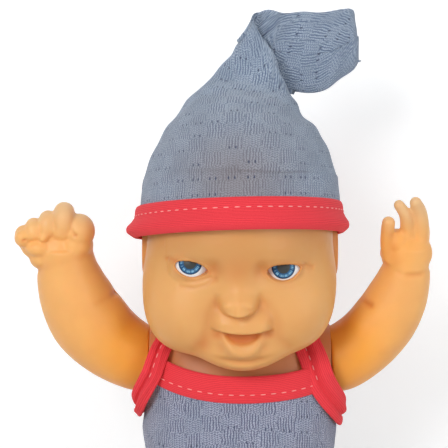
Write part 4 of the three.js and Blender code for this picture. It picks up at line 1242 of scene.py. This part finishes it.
def stitches(name, places, facings, body="body", pitch=3.7, dash=1.9):
    """Small dashes of thread along places, on a surface that faces the given ways."""
    half_width, half_height, lift = 0.19, 0.2, 0.04
    walked = lengths_along(places)
    dashes = []
    for start in np.arange(dash / 2, walked[-1] - dash / 2, pitch):
        low = at_length(start - dash / 2, walked, places)
        high = at_length(start + dash / 2, walked, places)
        out = at_length(start, walked, facings)
        run = (high - low) / np.linalg.norm(high - low)
        out -= run * (out @ run)
        out /= np.linalg.norm(out)
        side = np.cross(run, out)
        piece = sphere("dash", 8, 6)
        ball = points_of(piece)
        ball = ball @ np.array([side * half_width, out * half_height, run * dash / 2])
        dashes.append(put_points(piece, in_metres((low + high) / 2 + out * lift + ball)))
    return dressed(joined(name + "_stitches", dashes), thread, body)


print("tape helpers ready")

# %% Chest and back tapes
def chest_path(front, steps=90, reach=25.6):
    """The line that the chest tape or the back tape is swept along, and the way it faces."""
    turn, share, further_right = (-1, -front_depth, 4.4) if front else (1, back_depth, 0)
    x = np.linspace(-reach - further_right, reach, steps)
    height = tape_edge(x) + tape_width / 2
    size = through(torso_profile, profile_at(height))
    depth = (1 - np.abs(x / size[:, 0]) ** squareness) ** (1 / squareness)
    y = share * size[:, 1] * depth + turn * cloth_gap
    facings = np.stack([0.012 * x, np.full(steps, float(turn)), np.full(steps, 0.1)], axis=1)
    return np.stack([x, y, height], axis=1), facings


def above_tape(places, facings, looped, shift, out):
    """A line beside the middle of a tape, and above its face."""
    runs = runs_of(places, looped)
    square = square_to(runs, facings)
    return places + np.cross(runs, square) * shift + square * out, square


def seated(piece, places, facings):
    """The same places, moved square to their run onto the surface of a piece."""
    faces = [tuple(polygon.vertices) for polygon in piece.data.polygons]
    surface = BVHTree.FromPolygons(drawn_points(piece).tolist(), faces)
    square = square_to(runs_of(places, False), facings)
    seats, start_above, lift = [], 6, 0.1
    for place, facing in zip(places, square):
        hit = surface.ray_cast(Vector(place + facing * start_above), Vector(-facing), 2 * start_above)[0]
        seats.append(place if hit is None else np.array(hit) + facing * lift)
    return np.array(seats), square


tapes = []
for front, name, shift in ((True, "chest_binding", 1.6), (False, "back_binding", -1.6)):
    tapes.append(swept_tape(name, *chest_path(front), False, thickness=tape_thickness + 0.6))
    line = above_tape(*chest_path(front, reach=25.2), False, shift, tape_thickness + 0.7)
    tapes.append(stitches(name, *line))
print("chest and back tapes made")

# %% Strap tapes
# Each strap is one tape sewn round the whole armhole: over the shoulder, down past the arm and under it.
def strap_path(side, steps=150):
    """The ring that a strap's tape is swept along, and the way it faces; it keeps clear of jaw and arm."""
    a = np.arange(steps) / steps * full_turn
    c, s = np.cos(a), np.sin(a)
    right = side < 0
    low = strap_low - (4.0 if right else 2.0)
    radius = strap_side + (np.where(c > 0, strap_high, low) - strap_side) * np.abs(c)
    under_jaw = ease(s, 0.05, 0.3) * ease(c, 0.3, 0.6)
    radius = radius - under_jaw * (1.1 if right else 0.7)
    behind_arm = ease(-s, -0.12, 0.1) * ease(-c, 0.4, 0.7)
    x = 29.4 - 6.2 * c + 1.6 * s * s - behind_arm * (2.3 if right else 0.4)
    if right:
        x += 1.2 * ease(s, 0.3, 0.9) * ease(-c, -0.1, 0.6)
    else:
        x -= 3.6 * ease(s, 0.3, 0.9) * ease(c, -0.9, -0.1)
    places = np.stack([side * x, -radius * s, shoulder_height + radius * c], axis=1)
    facings = np.stack([side * np.maximum(0.22 * c, -c), -s, np.maximum(0, c)], axis=1)
    return places, facings


def folded_strap(breadth):
    """The strap is folded lengthways, and narrows under the arm."""
    def shape(w, t, along):
        under = hill(along - 0.5, 0.1)
        fold = hill(w - 0.9, 0.7) * ease(t, 0.9, 1.6)
        ridge = hill(w + 1.4, 1.4) * ease(t, 0.9, 1.6)
        return w * breadth * (1 - 0.2 * under), t - 1.2 * fold + 0.9 * ridge
    return shape


seen = slice(20, 44)  # the part of the ring that the arm and the chin leave in view
straps = ((-1, "right_strap_binding", 0.74, 0.2), (1, "left_strap_binding", 1.04, 1.1))
for side, name, breadth, shift in straps:
    piece = swept_tape(name, *strap_path(side), True, around=96, shape=folded_strap(breadth))
    places, facings = above_tape(*strap_path(side), True, shift, tape_thickness)
    tapes += [piece, stitches(name, *seated(piece, places[seen], facings[seen]))]
print("strap tapes made")

# %% Leg tapes
def leg_ring(side, radius, out, steps=110):
    """A ring round a hip joint's axis, and the way that axis points."""
    a = np.arange(steps) / steps * full_turn
    axis = hip_axis(side)
    level = np.array([side * math.sin(hip_tilt), 0, math.cos(hip_tilt)])
    centre = np.array([side * hip_plane, -1, hip_height]) + axis * out
    sideways = np.cos(a)[:, None] * radius * np.array([0, 1.0, 0])
    places = centre + sideways + np.sin(a)[:, None] * radius * level
    return places, np.tile(axis, (steps, 1))


leg_tape_radius, leg_tape_out = 17.1, 0.3
for side, name in ((-1, "right_leg_binding"), (1, "left_leg_binding")):
    tapes.append(swept_tape(name, *leg_ring(side, leg_tape_radius, leg_tape_out), True, width=4.4))
    tapes.append(stitches(name, *leg_ring(side, leg_tape_radius + 0.3, leg_tape_out + tape_thickness)))
tapes[:2] + tapes[4:]
print("leg tapes made")

# %% [markdown]
# ## Cap
# The cap is a knitted tube that narrows to a flat tail, folded over at the top. It is laid as one grid: each row is
# an oval ring between the cap's two edges as the photograph shows them, first round the head, then flatter and flatter
# up the cone, round the fold and out along the tail. Wrinkles are waves along the cloth, and Solidify makes it cloth
# thick.
# %% Rings of the cap
brim_tilt = math.radians(15)
cap_axis = np.array([0, math.sin(brim_tilt), math.cos(brim_tilt)])
cap_forward = np.array([0, -math.cos(brim_tilt), math.sin(brim_tilt)])
brim_drop = 8.6
brim_centre = np.array([0, -4, 135.5]) - cap_axis * brim_drop
brim_lean = math.radians(1.6)
cap_across = np.array([math.cos(brim_lean), 0, math.sin(brim_lean)])
cap_half_width = 34.1
cap_half_depth = 41.14


def brim_stop(rise, grow, shrink=1.0):
    """A ring of the cap where it lies on the head: left edge, right edge, thickness and facing."""
    middle = brim_centre + cap_axis * rise
    half = cap_across * (cap_half_width * shrink + grow)
    return [*(middle - half), *(middle + half), 2 * (cap_half_depth * shrink + grow), *cap_forward]


cap_stops = [
    brim_stop(5.8, 0.7),
    brim_stop(8.5, 0.8),
    brim_stop(11.6, 1.0),
    brim_stop(18.6, 1.0, 0.985),
    [-33.4, -2.4, 149, 33.6, -2.4, 148, 82, 0, -1, 0.24],
    [-30.6, -1.6, 157, 31.4, -1.6, 156, 75, 0, -1, 0.22],
    [-26.2, -1.2, 164.4, 28, -1.2, 163, 63, 0, -1, 0.2],
    [-20.4, -0.6, 171.2, 22.6, -0.6, 168.8, 48, 0, -1, 0.2],
    [-15.2, 1, 177.8, 19.4, 0.6, 174.2, 27, 0, -1, 0.2],
    [-10.2, 3, 183.2, 17.4, 2, 178.2, 14, 0, -1, 0.1],
    [-6.4, 4.6, 187, 14.6, 2, 183.4, 9, 0, -1, 0],
    [-3.6, 6, 189.6, 11.4, 3, 190.4, 7, 0, -1, 0],
    [-0.2, 7.5, 192.8, 4.9, 5, 201.4, 4.6, 0.1, -1, 0.2],
    [4.4, 9.5, 184.4, 9.2, 8, 204.6, 6, -0.7, 0, 0.7],
    [9, 12.5, 177.5, 15.5, 11.5, 203.8, 6, 0, 1, 0],
    [20, 13, 174.6, 23, 12.5, 203.8, 6.5, 0, 1, 0],
    [31, 13, 176.4, 32, 12.5, 203.8, 6, 0, 1, 0],
    [42.6, 12.5, 185.6, 40, 12, 205, 4.6, 0, 1, 0],
]
print(len(cap_stops), "stops along the cap")

# %% Lay the cloth of the cap
hat = grid("hat_knit_cloth", 300, 330)
across, along = shares_of(hat)
stop = through(np.array(cap_stops), along)
left, right, thick, facing = stop[:, 0:3], stop[:, 3:6], stop[:, 6], unit(stop[:, 7:10])
closing = np.sqrt(np.clip((1 - along) / 0.012, 0, 1))
angle = (across * 2 - 0.5) * math.pi
half = (right - left) / 2 * np.minimum(1, 0.9 + 0.1 * closing)[:, None]
points = (left + right) / 2 + np.cos(angle)[:, None] * half
points += (np.sin(angle) * thick / 2 * closing)[:, None] * facing
u, v = cloth_lengths(points, across, along)
put_points(hat, in_metres(points))
cloth_normals = points_of(hat, "normal")
middle_front = np.argmin(np.abs(along - 0.2) + np.abs(across - 0.5))
if cloth_normals[middle_front, 1] > 0:
    cloth_normals = -cloth_normals
swing = 0.55 * waves(11, u, v * 0.5, 10, 26.0) + 0.3 * waves(12, u * 0.7, v, 8, 12.0)
swing *= ease(v, 4, 16) * (1 - hill(along - 0.72, 0.06))
points += cloth_normals * swing[:, None]
put_points(hat, in_metres(points))
put_uv(hat, u, v)
warm = bump(points[:, 0], points[:, 2], -2, 154, 22, 17) * (points[:, 1] < -10)
put_warmth(hat, warm)
girth = float(np.ptp(u[along < 0.001]))
print("cap girth at the brim:", round(girth), "mm, length:", round(float(v.max())), "mm")

# %% Make it cloth thick
cap_thickness = 1.1
outwards(hat)
finished_with(hat, "SOLIDIFY", thickness=cap_thickness * MM, offset=-1, use_even_offset=False)
dressed(hat, cap_knit, "cap", "hat_knit")
print("cap cloth:", len(hat.data.polygons), "faces")

# %% Cap binding
brim_width, brim_thickness = 11.0, 3.3


def brim_path(rise, out, steps=260):
    """A ring round the head, at a height above the brim's middle, that bulges at the doll's right temple."""
    a = np.arange(steps) / steps * full_turn
    c, s = np.cos(a), np.sin(a)
    wide, deep = cap_half_width + out, cap_half_depth + out
    bulge = 0.9 * np.clip(-c, 0, 1) ** 6
    sideways = (c * (wide + bulge))[:, None] * cap_across
    places = brim_centre + cap_axis * rise + sideways + s[:, None] * deep * cap_forward
    facings = c[:, None] * np.array([deep, 0, 0]) + s[:, None] * wide * cap_forward
    return places, unit(facings)


def rolled_brim(w, t, along):
    """The lower edge rolls outwards, most of all at the doll's temples, and more on its right."""
    c = np.cos(along * full_turn)
    low = 0.5 - w / brim_width
    roll = ease(low, 0.35, 0.72) * (1 - 0.6 * ease(low, 0.8, 1.0))
    return w, t + roll * (0.6 + 1.5 * np.abs(c) ** 6 + 0.9 * np.clip(-c, 0, 1) ** 6)


brim_line = brim_path(brim_width / 2 - 0.1, -1.1)
binding = swept_tape("hat_binding", *brim_line, True, "cap", brim_width, brim_thickness, 48, rolled_brim)
brim_stitches = stitches("hat_binding", *brim_path(7.4, 2.2), "cap")
print("cap binding made")

# %% [markdown]
# ## Floor, backdrop and light
# The photograph has a white ground with a soft shadow to the right of the doll. A pale floor and a backdrop close
# behind the doll catch that shadow. The backdrop is seen only from its front, so that the doll can be looked at
# from behind. A large soft lamp from the upper left is the key, and a weak one fills the right.
# %% Floor and backdrop
def seen_directly(tree):
    """1 for rays from the camera, from gloss or from glass, and 0 for those that light other things."""
    kinds = ("Is Camera Ray", "Is Glossy Ray", "Is Transmission Ray")
    camera_ray, glossy_ray, clear_ray = [node(tree, "ShaderNodeLightPath", {}, kind) for kind in kinds]
    return camera_ray.maths("MAXIMUM", glossy_ray.maths("MAXIMUM", clear_ray))


ground_glow, sky_light = 0.46, 0.45


def ground(name, one_sided, **settings):
    """A pale plane that glows a little, and may be clear from behind."""
    material, tree, shader = new_material("pale_" + name, {
        "Base Color": (0.72, 0.74, 0.75, 1),
        "Roughness": 0.9,
        "Emission Color": (1, 1, 1, 1),
    })
    feed(seen_directly(tree) * ground_glow, shader.inputs["Emission Strength"])
    if one_sided:
        choice = tree.nodes.new("ShaderNodeMixShader")
        feed(node(tree, "ShaderNodeNewGeometry", {}, "Backfacing"), choice.inputs[0])
        feed(Value(shader.outputs[0]), choice.inputs[1])
        feed(node(tree, "ShaderNodeBsdfTransparent", {}), choice.inputs[2])
        feed(Value(choice.outputs[0]), tree.nodes["Material Output"].inputs["Surface"])
    plane = added(bpy.ops.mesh.primitive_plane_add, name, **settings)
    plane.data.materials.append(material)


backdrop_distance = 0.075
ground("floor", False, size=8, location=(0, 0, -0.0005))
ground("backdrop", True, size=3, location=(0, backdrop_distance, 1.0), rotation=(math.radians(90), 0, 0))
print("floor and backdrop placed")

# %% World and lamps
world = bpy.data.worlds.new("studio")
bpy.context.scene.world = world
world.use_nodes = True
ambient = world.node_tree.nodes["Background"]
feed(ranged(seen_directly(world.node_tree), 0.0, 1.0, sky_light, 1.0), ambient.inputs["Strength"])
ambient.inputs["Color"].default_value = (1, 1, 1, 1)
lamp_target = np.array([0, 0, 0.13])


def lamp(name, place, size, watts):
    """A round, soft lamp that shines at the doll's face."""
    light = added(bpy.ops.object.light_add, name, type="AREA", location=place)
    light.data.shape = "DISK"
    light.data.size = size
    light.data.energy = watts
    away = np.array(place) - lamp_target
    turn = math.atan2(away[0], -away[1])
    tilt = math.acos(away[2] / np.linalg.norm(away))
    light.rotation_euler = (tilt, 0, turn)


lamp("key_lamp", (-0.5, -0.95, 0.7), 0.5, 6.7)
lamp("fill_lamp", (0.9, -0.8, 0.3), 0.9, 3.8)
bpy.context.scene.view_settings.view_transform = "Standard"
